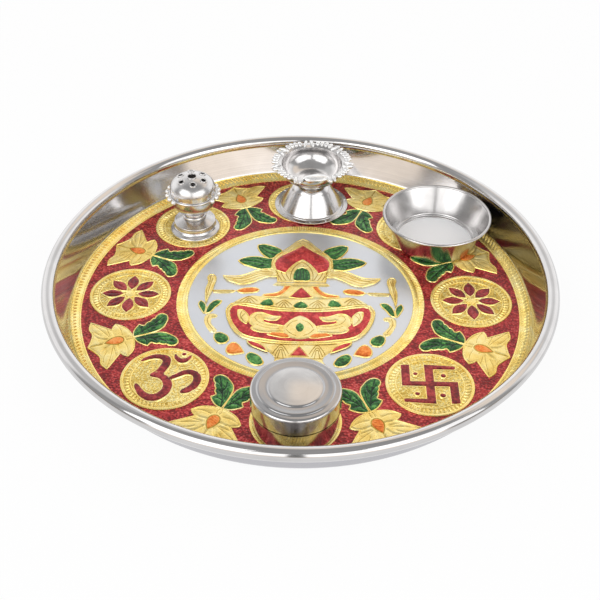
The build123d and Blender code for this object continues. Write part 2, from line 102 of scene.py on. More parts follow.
def add_sign(sign, operation):
    """Teaches Wire a sign, with the socket on its left or on its right."""
    setattr(Wire, f"__{sign}__", lambda wire, other: wire.math(operation, wire, other))
    setattr(Wire, f"__r{sign}__", lambda wire, other: wire.math(operation, other, wire))


signs = {"add": "ADD", "sub": "SUBTRACT", "mul": "MULTIPLY", "truediv": "DIVIDE", "pow": "POWER"}
for sign, operation in signs.items():
    add_sign(sign, operation)
print("signs:", list(signs))


# %% A finish: one tree of nodes
class Finish:
    """A tree of shader nodes and the calls that fill it."""

    def __init__(self, tree):
        self.tree = tree
        self.tree.nodes.clear()

    def node(self, kind, settings=None, sockets=None, outputs=(0,)):
        """Adds a node: its settings first, then the values or links of its sockets."""
        made = self.tree.nodes.new(kind)
        for key, value in (settings or {}).items():
            setattr(made, key, value)
        for key, value in (sockets or {}).items():
            if isinstance(value, Wire):
                self.tree.links.new(value.socket, made.inputs[key])
            else:
                made.inputs[key].default_value = value
        wires = [Wire(self, made.outputs[key]) for key in outputs]
        return wires[0] if len(wires) == 1 else wires

    def millimetres(self, spot=(0.0, 0.0)):
        """Object coordinates in millimetres, counted from a spot of the tray."""
        place = self.node("ShaderNodeTexCoord", outputs=("Object",))
        return self.node("ShaderNodeMapping", {"vector_type": "POINT"},
                         {"Vector": place, "Location": (-spot[0], -spot[1], 0), "Scale": [1 / MM] * 3})

    def parts(self, vector):
        return self.node("ShaderNodeSeparateXYZ", None, {0: vector}, ("X", "Y", "Z"))

    def noise(self, vector, scale, detail=2.0, distortion=0.0):
        return self.node("ShaderNodeTexNoise", None,
                         {"Vector": vector, "Scale": scale, "Detail": detail, "Distortion": distortion})

    def turning_marks(self, place, pitch, smear_scale, smear_twist):
        """Radius, height, fine rings about the upright axis and broad smears."""
        x, y, z = self.parts(place)
        radius = (x * x + y * y) ** 0.5
        along = self.node("ShaderNodeCombineXYZ", None, {"X": radius * pitch, "Y": z * pitch})
        return radius, z, self.noise(along, 1.0, 4.0), self.noise(place, smear_scale, 3.0, smear_twist)

    def pebbles(self, vector, scale):
        """Rounded grains: 1 in the middle of each and 0 between them."""
        gap = self.node("ShaderNodeTexVoronoi", {"feature": "SMOOTH_F1"},
                        {"Vector": vector, "Scale": scale, "Smoothness": 0.3})
        return 1 - self.between(gap, 0.12, 0.72)

    def ramp(self, factor, *stops):
        """Colours by factor, from (position, colour) stops."""
        shades = self.node("ShaderNodeValToRGB", None, {"Fac": factor})
        elements = shades.socket.node.color_ramp.elements
        while len(elements) < len(stops):
            elements.new(1.0)
        for element, (position, colour) in zip(elements, stops):
            element.position = position
            element.color = (*colour, 1.0)
        return shades

    def between(self, value, low, high):
        """0 below low, 1 above high, and smooth between."""
        return self.node("ShaderNodeMapRange", {"interpolation_type": "SMOOTHSTEP"},
                         {"Value": value, "From Min": low, "From Max": high})

    def within(self, value, low, high, soft):
        """1 from low to high and 0 outside, with a soft change about both."""
        rising = self.between(value, low - soft, low + soft)
        return rising * (1 - self.between(value, high - soft, high + soft))

    def mix(self, factor, first, second):
        return self.node("ShaderNodeMix", {"data_type": "RGBA"}, {0: factor, 6: first, 7: second}, (2,))

    def surface(self, sockets, height, lift, strength=1.0):
        """Ends the tree in a Principled shader, with a bump of lift millimetres."""
        bump = self.node("ShaderNodeBump", None,
                         {"Strength": strength, "Distance": lift * MM, "Height": height})
        shader = self.node("ShaderNodeBsdfPrincipled", None, {**sockets, "Normal": bump})
        self.node("ShaderNodeOutputMaterial", None, {"Surface": shader}, ())


def new_finish(name):
    """A new material and the finish that fills it."""
    material = bpy.data.materials.new(name)
    material.use_nodes = True
    return material, Finish(material.node_tree)


# %% [markdown]
# ## Steel
# The tray and most of the vessels are spun from thin stainless sheet. A spinning tool leaves very
# fine rings about the axis, so the grain is noise that changes with the radius and the height and
# hardly along the turn. Each vessel has its own axis, and so its own copy of the finish.


# %% Spun steel
def spun_steel(name, spot, gloss, tone=1.0, painted_sheen_floor=None, painted_shade_ring=None, painted_seam_shade=None):
    """Polished sheet steel with a lathe's fine rings; a painted sheen on the floor, a ring of painted shade
    or painted shade in a groove if asked.
    """
    material, finish = new_finish(name)
    radius, z, rings, smears = finish.turning_marks(finish.millimetres(spot), 2.2, 0.09, 0.6)
    dull = [tone * share for share in (0.55, 0.535, 0.53)] + [1]
    clear = [tone * share for share in (0.66, 0.65, 0.645)] + [1]
    colour = finish.mix(finish.between(rings * 0.3 + smears * 0.7, 0.3, 0.7), dull, clear)
    roughness = gloss + rings * 0.03 + smears * 0.06
    metallic = 1.0
    if painted_sheen_floor:
        # Painted sheen: the floor inside the given radius and below the given height is painted near white,
        # standing in for the bright light it reflects; it is also rougher and less metallic.
        sheen_radius, sheen_height = painted_sheen_floor
        pale = 1 - finish.between(radius, sheen_radius - 1, sheen_radius)
        pale = pale * (1 - finish.between(z, sheen_height - 0.5, sheen_height + 0.5))
        colour = finish.mix(pale, colour, (0.99, 0.99, 1.0, 1))
        roughness = roughness + pale * 0.2
        metallic = 1 - pale * 0.85
    if painted_seam_shade:
        # Painted shade: a dark band between the given heights, standing in for the shadow in the groove above
        # the lid's hem.
        seam_edge = 0.025
        shade = finish.within(z, painted_seam_shade[0] - seam_edge, painted_seam_shade[1] + seam_edge, seam_edge)
        colour = finish.mix(shade, colour, (0.03, 0.025, 0.02, 1))
    if painted_shade_ring:
        # Painted shade: the ring between the given radii is painted dark grey, standing in for the shade on
        # the lid's steps and groove.
        band = finish.within(radius, *painted_shade_ring, 0.4)
        colour = finish.mix(band * 0.75, colour, (0.36, 0.36, 0.37, 1))
    finish.surface({"Base Color": colour, "Roughness": roughness, "Metallic": metallic}, rings, 0.01, 0.1)
    return material


vessel_nodes = {"incense": "incense_foot", "lamp": "lamp_foot", "bowl": "offering_bowl", "box": "box_body"}
vessel_looks = {"incense": {"gloss": 0.2}, "lamp": {"gloss": 0.13}, "box": {"gloss": 0.12},
                "bowl": {"gloss": 0.17, "tone": 0.9, "painted_sheen_floor": (20.8, 3.2)}}
vessel_spots = {}
steel = {}
for vessel, node in vessel_nodes.items():
    middle = (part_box(node)[0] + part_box(node)[1]) / 2
    vessel_spots[vessel] = (middle.x / MM, middle.y / MM)
    steel[vessel] = spun_steel(f"spun_steel_{vessel}", vessel_spots[vessel], **vessel_looks[vessel])
print("vessel axes, mm:", {name: tuple(round(v, 1) for v in spot) for name, spot in vessel_spots.items()})

# %% [markdown]
# The tray's middle is paler than its wall: inside the inner border the sheet is satin with a cool
# tone. The outside of the wall is rougher, and painted darker as shade, standing in for the shadowed
# floor that it reflects. One finish does all three: the radius tells the disc, and the distance from
# the middle of the sheet tells inside from outside.

# %% Tray steel
floor_radius = 110.4
disc_edge = 57.3
sheet = 0.8
floor_bend = 6.0
outer_bend = floor_bend + sheet
wall_lean = radians(71.2)


def tray_steel(name):
    """Spun steel with a paler satin disc in the middle; the outside of the wall is rougher and has painted
    shade.
    """
    material, finish = new_finish(name)
    radius, z, rings, smears = finish.turning_marks(finish.millimetres(), 1.6, 0.05, 0.8)
    disc = 1 - finish.between(radius, disc_edge, disc_edge + 1)
    out = radius - floor_radius
    high = z - outer_bend
    middle_bend = floor_bend + sheet / 2
    past_wall = out * sin(wall_lean) - high * cos(wall_lean) - middle_bend
    past_bend = (out * out + high * high) ** 0.5 - middle_bend
    on_low_bend = (1 - finish.between(high, -3, -2)) * finish.between(out, 0, 0.5)
    outside = finish.between(past_wall, -0.1, 0.1) + finish.between(past_bend, -0.1, 0.1) * on_low_bend
    outside = finish.between(outside, 0, 1) * (1 - finish.between(high, 10, 10.6))
    sheet_colour = finish.mix(finish.between(rings * 0.5 + smears * 0.5, 0.3, 0.7),
                              (0.56, 0.55, 0.55, 1), (0.66, 0.65, 0.65, 1))
    # Painted shade: the outside of the wall is painted darker, standing in for the shadowed floor it
    # reflects.
    sheet_colour = finish.mix(outside, sheet_colour, (0.46, 0.455, 0.48, 1))
    disc_colour = finish.mix(smears, (0.64, 0.68, 0.74, 1), (0.74, 0.76, 0.80, 1))
    roughness = 0.05 + rings * 0.03 + smears * 0.05 + disc * 0.22 + outside * 0.15
    finish.surface({"Base Color": finish.mix(disc, sheet_colour, disc_colour), "Roughness": roughness,
                    "Metallic": 1 - disc * 0.3}, rings, 0.02, 0.15)
    return material


plate_steel = tray_steel("tray_steel")
print("steel finishes:", len(steel) + 1)

# %% [markdown]
# ## Gilding and enamel
# The floor is stamped, gilded and filled with coloured enamel. Punches leave a fine stipple on the
# gold and on the red ground. A pattern of rounded cells a little over a millimetre wide makes it,
# and the same cells drive the bump and a painted shade in the gaps between the grains.

# %% Gilding
stipple = 0.8


def gilding(name, deep, mid, bright, lift, gloss=0.22, grain=0.0):
    """Gold over stamped steel, smooth or with a stipple of rounded grains."""
    material, finish = new_finish(name)
    place = finish.millimetres()
    swell = finish.noise(place, 0.2)
    tone = finish.noise(place, 0.045)
    fine = finish.noise(place, 1.3)
    level = swell * 0.4 + tone * 0.35 + fine * 0.25
    height = swell * 0.8 + fine * 0.2
    if grain:
        dots = finish.pebbles(place, grain)
        # Painted shade: the colour is darker in the gaps between the grains, where the bump is low.
        level = level * 0.8 + dots * 0.22 - 0.01
        height = height * 0.4 + dots
    colour = finish.ramp(level, (0.36, deep), (0.48, mid), (0.62, bright))
    finish.surface({"Base Color": colour, "Roughness": gloss + fine * 0.16, "Metallic": 0.82}, height, lift)
    return material


gilt = gilding("stippled_gilt", (0.7, 0.48, 0.1), (0.97, 0.75, 0.23), (1, 0.88, 0.42), 0.4, grain=stipple)
petal_gilt = gilding("petal_gilt", (0.84, 0.58, 0.14), (0.98, 0.76, 0.25), (1, 0.87, 0.42), 0.5)
bright_gilt = gilding("bright_gilt", (0.9, 0.66, 0.17), (0.98, 0.77, 0.25), (1, 0.88, 0.42), 0.1, 0.18)
pale_gilt = gilding("pale_gilt", (0.88, 0.63, 0.19), (1, 0.81, 0.33), (1, 0.91, 0.5), 0.5)
olive_gilt = gilding("olive_gilt", (0.28, 0.16, 0.015), (0.46, 0.29, 0.04), (0.66, 0.47, 0.1), 0.1, 0.3)
print("gilding finishes: 5")


# %% Enamel
def enamel(name, deep, mid, bright, lift, coat=0.4, grain=0.0):
    """Clear coloured glass over bright stamped metal: dark where it is thick, glowing where it is thin."""
    material, finish = new_finish(name)
    place = finish.millimetres()
    swell = finish.noise(place, 0.16, distortion=0.5)
    fine = finish.noise(place, 0.9, distortion=0.4)
    level = swell * 0.5 + fine * 0.5
    height = swell * 0.7 + fine * 0.3
    if grain:
        dots = finish.pebbles(place, grain)
        # Painted shade: the colour is darker in the gaps between the grains, where the bump is low.
        level = level * 0.8 + dots * 0.18 + 0.01
        height = height * 0.4 + dots
    colour = finish.ramp(level, (0.38, deep), (0.49, mid), (0.64, bright))
    finish.surface({"Base Color": colour, "Roughness": 0.24 + fine * 0.16, "Metallic": 0.62,
                    "Coat Weight": coat, "Coat Roughness": 0.1}, height, lift)
    return material


red_enamel = enamel("red_enamel", (0.2, 0.008, 0.01), (0.46, 0.024, 0.028), (0.76, 0.11, 0.1), 0.26, 0.3,
                    stipple)
sign_red = enamel("sign_red_enamel", (0.11, 0.006, 0.01), (0.26, 0.014, 0.018), (0.52, 0.06, 0.06), 0.3)
pot_red_enamel = enamel("pot_red_enamel", (0.3, 0.01, 0.014), (0.52, 0.022, 0.028), (0.8, 0.1, 0.09), 0.3)
green_enamel = enamel("green_enamel", (0.005, 0.05, 0.008), (0.017, 0.14, 0.022), (0.15, 0.44, 0.1), 0.5)
# Painted shade: a near-black green for wires laid in the leaves' vein grooves, standing in for the shade in
# them.
vein_shade_green = enamel("vein_shade_green", (0.002, 0.018, 0.006), (0.004, 0.03, 0.01), (0.02, 0.08, 0.03), 0.2)
orange_enamel = enamel("orange_enamel", (0.66, 0.12, 0.01), (0.92, 0.25, 0.03), (1, 0.42, 0.11), 0.2, 0.3)
print("enamel finishes: 6")


# %% Bright silver
def cast_silver(name, spot):
    """A bright white casting, faintly grained, with a random lighter and darker tone."""
    material, finish = new_finish(name)
    place = finish.millimetres(spot)
    grain = finish.noise(place, 1.6)
    swell = finish.noise(place, 0.3)
    colour = finish.mix(finish.between(grain * 0.4 + swell * 0.6, 0.35, 0.6),
                        (0.74, 0.74, 0.75, 1), (0.90, 0.90, 0.89, 1))
    roughness = 0.2 + grain * 0.12
    finish.surface({"Base Color": colour, "Roughness": roughness, "Metallic": 0.65}, grain, 0.02, 0.2)
    return material


silver = cast_silver("bright_silver", vessel_spots["lamp"])
print("silver finish:", silver.name)

# %% [markdown]
# ## Turned shapes
# Almost everything here was spun or turned, so a lathe is the main tool: a profile of radius and
# height, swept once round. Corners in the profile are rounded first, because a real edge always
# catches a line of light. The mesh is closed at the poles and its faces are set to point outwards.


# %% Profiles and the lathe
def rounded(corners, steps=4):
    """A profile of (radius, height, round) corners with each corner turned into a small arc."""
    points = []
    last = len(corners) - 1
    for index, (r, z, size) in enumerate(corners):
        here = Vector((r, z))
        if size == 0 or index in (0, last):
            points.append(here)
            continue
        before = Vector(corners[index - 1][:2]) - here
        after = Vector(corners[index + 1][:2]) - here
        reach = min(size, 0.49 * before.length, 0.49 * after.length)
        start = here + before.normalized() * reach
        end = here + after.normalized() * reach
        for step in range(steps + 1):
            t = step / steps
            points.append(start * (1 - t) ** 2 + here * 2 * t * (1 - t) + end * t * t)
    return points


def arc(centre, radius, first, last, steps):
    """Points of a circle in the profile plane, from one angle to another in degrees."""
    turns = [radians(first + (last - first) * step / steps) for step in range(steps + 1)]
    return [Vector((centre[0] + radius * cos(turn), centre[1] + radius * sin(turn))) for turn in turns]


def quarter(start, across, up):
    """A quarter of an ellipse that leaves its start level and ends upright."""
    turns = [radians(turn) for turn in range(0, 91, 6)]
    return [Vector((start[0] + across * sin(turn), start[1] + up * (1 - cos(turn)))) for turn in turns]


def as_mesh(work, name="part", outwards=True):
    """The mesh of a bmesh, which is used up, with its faces turned outwards unless they are so already."""
    if outwards:
        bmesh.ops.recalc_face_normals(work, faces=work.faces)
    mesh = bpy.data.meshes.new(name)
    work.to_mesh(mesh)
    work.free()
    return mesh


def lathe(profile, spot=(0.0, 0.0), base=0.0, segments=128, closed=True):
    """A mesh swept round the vertical axis over a spot of the tray, in millimetres."""
    work = bmesh.new()
    rings = []
    turns = [2 * pi * step / segments for step in range(segments)]
    for r, z in profile:
        height = (z + base) * MM
        if r < 1e-6:
            rings.append([work.verts.new((spot[0] * MM, spot[1] * MM, height))])
            continue
        rings.append([work.verts.new(((spot[0] + r * cos(turn)) * MM, (spot[1] + r * sin(turn)) * MM, height))
                      for turn in turns])
    pairs = list(zip(rings, rings[1:])) + ([(rings[-1], rings[0])] if closed else [])
    for low, high in pairs:
        for step in range(segments):
            corners = [low[step % len(low)], low[(step + 1) % len(low)],
                       high[(step + 1) % len(high)], high[step % len(high)]]
            corners = list(dict.fromkeys(corners))
            if len(corners) > 2:
                work.faces.new(corners)
    bmesh.ops.remove_doubles(work, verts=work.verts, dist=1e-7)
    return as_mesh(work)


# %% Pieces out of meshes
def gather(work, mesh):
    """Adds a mesh, which is used up, to a bmesh and returns its faces there."""
    first = len(work.faces)
    work.from_mesh(mesh)
    bpy.data.meshes.remove(mesh)
    work.faces.ensure_lookup_table()
    return work.faces[first:]


def shown_mesh(holder):
    """The mesh that an object shows with its modifiers; the object is removed."""
    scene.collection.objects.link(holder)
    shown = holder.evaluated_get(bpy.context.evaluated_depsgraph_get())
    mesh = bpy.data.meshes.new_from_object(shown)
    bpy.data.objects.remove(holder)
    return mesh


def piece(name, body, node, parts, sharp=35.0):
    """Joins (mesh, finish) parts into one piece that rides on a body and stands for a CAD node."""
    work = bmesh.new()
    finishes = list(dict.fromkeys(finish for _, finish in parts))
    for mesh, finish in parts:
        for face in gather(work, mesh):
            face.material_index = finishes.index(finish)
            face.smooth = True
    joined = as_mesh(work, name, False)
    for finish in finishes:
        joined.materials.append(finish)
    joined.set_sharp_from_angle(angle=radians(sharp))
    made = bpy.data.objects.new(name, joined)
    scene.collection.objects.link(made)
    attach(made, body)
    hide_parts(node)
    print(name, "faces:", len(joined.polygons))


# %% [markdown]
# ## Tray
# The tray is one sheet: a flat floor, a wide bend, a steep wall and a rim rolled over a wire. The
# wall is the straight line that touches both the bend and the start of the roll, so we work out its
# lean from those two, as the CAD model does.

# %% Tray
roll_radius = 3.3
roll_centre = Vector((123.7, 20.2))
roll_start = radians(215)
wall_top = roll_centre + (roll_radius - sheet) * Vector((cos(roll_start), sin(roll_start)))
bend_centre = Vector((floor_radius, outer_bend))
to_top = wall_top - bend_centre
wall_turn = degrees(atan2(to_top.y, to_top.x) + asin(outer_bend / to_top.length))
bend_low = arc(bend_centre, outer_bend, -90, wall_turn - 90, 16)
bend_high = arc(bend_centre, floor_bend, wall_turn - 90, -90, 16)
tray_profile = [(0, 0), (60, 0), *bend_low, *arc(roll_centre, roll_radius, 230, 568, 44), *bend_high,
                (60, sheet), (0, sheet)]
tray_mesh = lathe(tray_profile, segments=288, closed=False)
piece("thali_tray", "plate", "thali_plate", [(tray_mesh, plate_steel)])

# %% [markdown]
# ## Copies round an axis
# Beads, hatching, petals and pearls all repeat about an axis. A Geometry Nodes tree does that once
# for all of them: it sets copies of its input on points that share one place and differ only in
# their turn, moves the result to its axis, and makes real geometry of it.


# %% The tree of turned copies
def turned_copies_tree():
    """Copies of a mesh, turned step by step about an upright axis."""
    tree = bpy.data.node_groups.new("turned_copies", "GeometryNodeTree")
    inputs = {"Geometry": "Geometry", "Count": "Int", "First turn": "Float", "Turn step": "Float",
              "Axis place": "Vector"}
    sockets = {}
    for name, kind in inputs.items():
        socket = tree.interface.new_socket(name, in_out="INPUT", socket_type=f"NodeSocket{kind}")
        sockets[name] = socket.identifier
    tree.interface.new_socket("Geometry", in_out="OUTPUT", socket_type="NodeSocketGeometry")
    kinds = {"given": "NodeGroupInput", "points": "GeometryNodePoints", "index": "GeometryNodeInputIndex",
             "turn": "ShaderNodeMath", "euler": "ShaderNodeCombineXYZ",
             "spread": "GeometryNodeInstanceOnPoints", "place": "GeometryNodeTransform",
             "real": "GeometryNodeRealizeInstances", "result": "NodeGroupOutput"}
    nodes = {name: tree.nodes.new(kind) for name, kind in kinds.items()}
    nodes["turn"].operation = "MULTIPLY_ADD"
    links = [("given", "Count", "points", "Count"), ("index", 0, "turn", 0),
             ("given", "Turn step", "turn", 1), ("given", "First turn", "turn", 2),
             ("turn", 0, "euler", "Z"), ("points", 0, "spread", "Points"),
             ("given", "Geometry", "spread", "Instance"), ("euler", 0, "spread", "Rotation"),
             ("spread", 0, "place", "Geometry"), ("given", "Axis place", "place", "Translation"),
             ("place", 0, "real", 0), ("real", 0, "result", 0)]
    for start, output, end, entry in links:
        tree.links.new(nodes[start].outputs[output], nodes[end].inputs[entry])
    return tree, sockets


copies_tree, copies_sockets = turned_copies_tree()


def turned_copies(mesh, count, first=0.0, step=None, spot=(0.0, 0.0), base=0.0):
    """A plain mesh of copies of a mesh about an upright axis; the mesh is used up."""
    holder = bpy.data.objects.new("copies", mesh)
    modifier = holder.modifiers.new("copies", "NODES")
    modifier.node_group = copies_tree
    values = {"Count": count, "First turn": radians(first),
              "Turn step": radians(360.0 / count if step is None else step),
              "Axis place": (spot[0] * MM, spot[1] * MM, base * MM)}
    for name, value in values.items():
        modifier[copies_sockets[name]] = value
    result = shown_mesh(holder)
    bpy.data.meshes.remove(mesh)
    return result


print("tree:", copies_tree.name, "inputs:", list(copies_sockets))


# %% Small shapes that are copied
def egg(size, place, sides=0):
    """A ball with three half lengths, set by a matrix, in millimetres; faceted if no sides are given."""
    work = bmesh.new()
    if sides:
        bmesh.ops.create_uvsphere(work, u_segments=sides, v_segments=8, radius=1.0)
    else:
        bmesh.ops.create_icosphere(work, subdivisions=1, radius=1.0)
    for vert in work.verts:
        vert.co = (place @ (vert.co * Vector(size))) * MM
    return as_mesh(work, outwards=False)


def rib(start, end, width, height, upwards=(0, 0, 1)):
    """A low ridge with tapered ends between two points, like the mark of a chasing tool."""
    start, end = Vector(start), Vector(end)
    along = (end - start) / 2
    across = Vector((-along.y, along.x, 0)).normalized() * (width / 2)
    middle = (start + end) / 2
    rise = Vector(upwards) * height
    work = bmesh.new()
    rows = []
    for share, swell in ((-1.0, 0.35), (-0.6, 1.0), (0.6, 1.0), (1.0, 0.35)):
        spine = middle + along * share
        rows.append([work.verts.new((spine + across * side * swell + rise * lift * swell) * MM)
                     for side, lift in ((-1, 0), (-0.5, 0.8), (0.5, 0.8), (1, 0))])
    for low, high in zip(rows, rows[1:]):
        for step in range(3):
            work.faces.new((low[step], low[step + 1], high[step + 1], high[step]))
    work.faces.new(rows[0])
    work.faces.new(rows[-1])
    work.faces.new([row[0] for row in rows] + [row[3] for row in reversed(rows)])
    return as_mesh(work)


# %% [markdown]
# ## Rings of the floor
# Two gilt rings frame the red field. The outer one has a rope of slanted strokes, a row of beads
# and a plain bright line. The inner one has a smooth band towards the disc and short radial
# strokes on its outer half. The plain parts are turned, and the strokes are copies.

# %% Outer border
floor_top = sheet
rope_count, bead_count = 300, 400


def floor_piece(name, slot, node, *parts):
    """A piece of the tray's ornament."""
    piece(name, "plate", node, parts)


def on_bend(climb, height):
    """The profile point at an angle up the bend and at a height above the sheet."""
    reach = floor_bend - height
    return (floor_radius + reach * sin(radians(climb)), outer_bend - reach * cos(radians(climb)))


outer_profile = rounded([(*on_bend(climb, height), size) for climb, height, size in (
    (0, 0.05, 0), (0, 0.6, 0.3), (10, 0.65, 0.3), (12, 0.3, 0.1), (22, 0.3, 0.1), (24, 0.4, 0.1),
    (32, 0.4, 0), (40, 0.4, 0), (48, 0.4, 0), (55, 0.4, 0.1), (57, 0.6, 0.2), (62, 0.5, 0.1),
    (62, 0.05, 0))], 2)
rope_low, rope_high = on_bend(25, 0.3), on_bend(55, 0.3)
rope_climb, rope_slant = radians(40), 1.2
rope = rib((rope_low[0], -rope_slant, rope_low[1]), (rope_high[0], rope_slant, rope_high[1]), 1.7, 0.8,
           (-sin(rope_climb), 0, cos(rope_climb)))
# Painted shade: a band of dark olive gilt under the rope's strokes stands in for the shade between them.
rope_shade_bed = [on_bend(climb, 0.44) for climb in range(23, 57, 3)] + [on_bend(56, 0.2), on_bend(23, 0.2)]
bead_radius, bead_height = on_bend(17, 0.35)
border_bead = egg((0.6, 0.6, 0.5), Matrix.Translation((bead_radius, 0, bead_height)))
floor_piece("outer_border_gilt", "gilding", "outer_gold_border",
            (lathe(outer_profile, segments=256), bright_gilt), (lathe(rope_shade_bed, segments=192), olive_gilt),
            (turned_copies(rope, rope_count), petal_gilt),
            (turned_copies(border_bead, bead_count), bright_gilt))

# %% Inner border
inner_in, inner_out = disc_edge, disc_edge + 6.0
ring_top, ring_low = floor_top + 0.28, floor_top - 0.3
stroke_count = 300
inner_profile = rounded([(inner_in, ring_low, 0), (inner_in, ring_top + 0.1, 0.3),
                         (inner_in + 1.4, ring_top + 0.75, 0.9), (inner_in + 2.8, ring_top + 0.1, 0.3),
                         (inner_in + 3, ring_top - 0.05, 0.1), (inner_out - 0.5, ring_top - 0.05, 0.2),
                         (inner_out, ring_top - 0.2, 0.1), (inner_out, ring_low, 0)], 3)
stroke = rib((inner_in + 3, 0, ring_top - 0.1), (inner_out - 0.2, 0.25, ring_top - 0.1), 0.9, 0.45)
floor_piece("inner_border_gilt", "gilding", "inner_gold_border",
            (lathe(inner_profile, segments=224), bright_gilt),
            (turned_copies(stroke, stroke_count), petal_gilt))

# %% Red field
ground_top = 1.05
ground_in, ground_out, ground_low = inner_out - 0.2, floor_radius + 0.1, floor_top - 0.2
ground_profile = [(ground_in, ground_low), (ground_in, ground_top), (ground_out, ground_top),
                  (ground_out, ground_low)]
floor_piece("red_field", "red_enamel", "red_enamel_ground", (lathe(ground_profile, segments=192), red_enamel))

# %% [markdown]
# ## Drawn shapes
# Petals, leaves, signs and the kalash are flat drawings that a stamp raises a little. We draw each
# as an outline. Its inside is filled with points whose height grows with the distance from the
# edge, and falls along engraved lines, as sheet does under a stamp. The same outline with a round
# bevel makes the gold wire that fences the enamel. A point is (x, y); a third number marks a
# sharp corner.


# %% Curves into meshes
def curve_mesh(outlines, closed, settings, lift, flat=1.0):
    """A mesh from drawn outlines in millimetres, raised to a height and flattened if asked."""
    curve = bpy.data.curves.new("drawing", "CURVE")
    for key, value in settings.items():
        setattr(curve, key, value)
    curve.resolution_u = 5
    for outline in outlines:
        spline = curve.splines.new("BEZIER")
        spline.bezier_points.add(len(outline) - 1)
        for knot, point in zip(spline.bezier_points, outline):
            knot.co = (point[0] * MM, point[1] * MM, 0.0)
            knot.handle_left_type = knot.handle_right_type = "VECTOR" if len(point) > 2 else "AUTO"
        spline.use_cyclic_u = closed
    mesh = shown_mesh(bpy.data.objects.new("drawing", curve))
    bpy.data.curves.remove(curve)
    mesh.transform(Matrix.Translation((0, 0, lift * MM)) @ Matrix.Diagonal((1, 1, flat, 1)))
    return mesh


def wire(outlines, radius, height, closed=True):
    """Round wire laid along outlines, a little flattened."""
    settings = {"dimensions": "3D", "bevel_depth": radius * MM, "bevel_resolution": 1, "use_fill_caps": True}
    return curve_mesh(outlines, closed, settings, height, 0.7)


# %% Stamped relief
def drawn_points(outline, closed=True):
    """The points along a drawn outline, in millimetres."""
    mesh = curve_mesh([outline], closed, {"dimensions": "2D", "fill_mode": "NONE"}, 0.0)
    points = np.array([vert.co[:2] for vert in mesh.vertices]) / MM
    bpy.data.meshes.remove(mesh)
    return points


def nearest(points, path, closed=True):
    """How far each point is from a path of straight runs."""
    starts = path if closed else path[:-1]
    runs = (np.roll(path, -1, axis=0) if closed else path[1:]) - starts
    away = points[:, None, :] - starts[None]
    share = np.clip((away * runs).sum(2) / np.maximum((runs ** 2).sum(1), 1e-12), 0, 1)
    return np.sqrt(((away - share[..., None] * runs) ** 2).sum(2)).min(1)


def inside(points, path):
    """Which points lie inside a closed path, by counting how often a ray crosses it."""
    ends = np.roll(path, -1, axis=0)
    x, y = points[:, :1], points[:, 1:]
    spans = (path[:, 1] > y) != (ends[:, 1] > y)
    rise = np.where(ends[:, 1] == path[:, 1], 1e-12, ends[:, 1] - path[:, 1])
    crossing = path[:, 0] + (ends[:, 0] - path[:, 0]) * (y - path[:, 1]) / rise
    return (spans & (x < crossing)).sum(1) % 2 == 1


def puffed(outlines, low, high, shoulder, grooves=(), depth=0.2, spacing=0.6, width=0.4):
    """Outlines raised like stamped sheet: full height a shoulder's width in from the edge, with grooves."""
    work = bmesh.new()
    cuts = [drawn_points(groove, False) for groove in grooves]
    row_share = 0.866
    for outline in outlines:
        rim = drawn_points(outline)
        least, most = rim.min(0), rim.max(0)
        columns = np.arange(least[0], most[0], spacing)
        across, along = np.meshgrid(columns, np.arange(least[1], most[1], spacing * row_share))
        across[1::2] += spacing / 2
        grid = np.stack([across.ravel(), along.ravel()], 1)
        grid = grid[inside(grid, rim)]
        grid = grid[nearest(grid, rim) > 0.4 * spacing]
        spots = [Vector(point) for point in (*rim, *grid)]
        flat, _, triangles, *_ = delaunay_2d_cdt(spots, [], [list(range(len(rim)))], 1, 1e-5)
        flat = np.array(flat)
        share = np.clip(nearest(flat, rim) / shoulder, 0, 1)
        height = low + (high - low) * np.sqrt(1 - (1 - share) ** 2)
        for cut in cuts:
            height -= depth * share * np.exp(-(nearest(flat, cut, False) / width) ** 2)
        height = np.maximum(height, low + 0.4 * (high - low) * np.sqrt(share))
        verts = [work.verts.new((x * MM, y * MM, z * MM)) for (x, y), z in zip(flat, height)]
        for triangle in triangles:
            work.faces.new([verts[corner] for corner in triangle])
        bmesh.ops.edgeloop_fill(work, edges=[edge for edge in work.edges if edge.is_boundary])
    return as_mesh(work)


# %% Turning and mirroring drawings
def mirrored(outline):
    """The mirror image of an outline across the kalash's middle line."""
    return [(-point[0], *point[1:]) for point in reversed(outline)]


def both(*outlines):
    """Each outline and its mirror image."""
    return [*outlines, *[mirrored(outline) for outline in outlines]]


def whole(half):
    """A closed outline from its right half, drawn from the top of the middle line to the bottom."""
    return half + [point for point in mirrored(half) if point[0] < -1e-6]


def moved(outline, place, turn=0.0):
    """An outline turned and set at a place."""
    c, s = cos(radians(turn)), sin(radians(turn))
    return [(place[0] + c * x - s * y, place[1] + s * x + c * y, *mark) for x, y, *mark in outline]


print("drawing helpers ready")

# %% [markdown]
# ## Medallions
# Eight gilt discs stand on the red field, each with a raised double line at its edge and hatching
# between the lines. Four are under the vessels. The open ones carry a sign in dark red enamel inside
# a thin gold fence. One disc is turned at the right of the tray, then copied to its seats.

# %% Gilt medallions
seat_radius = 87.0
medallion_radius = 20.7
seat_top = 1.55
field = 1.12
hatch_count = 56


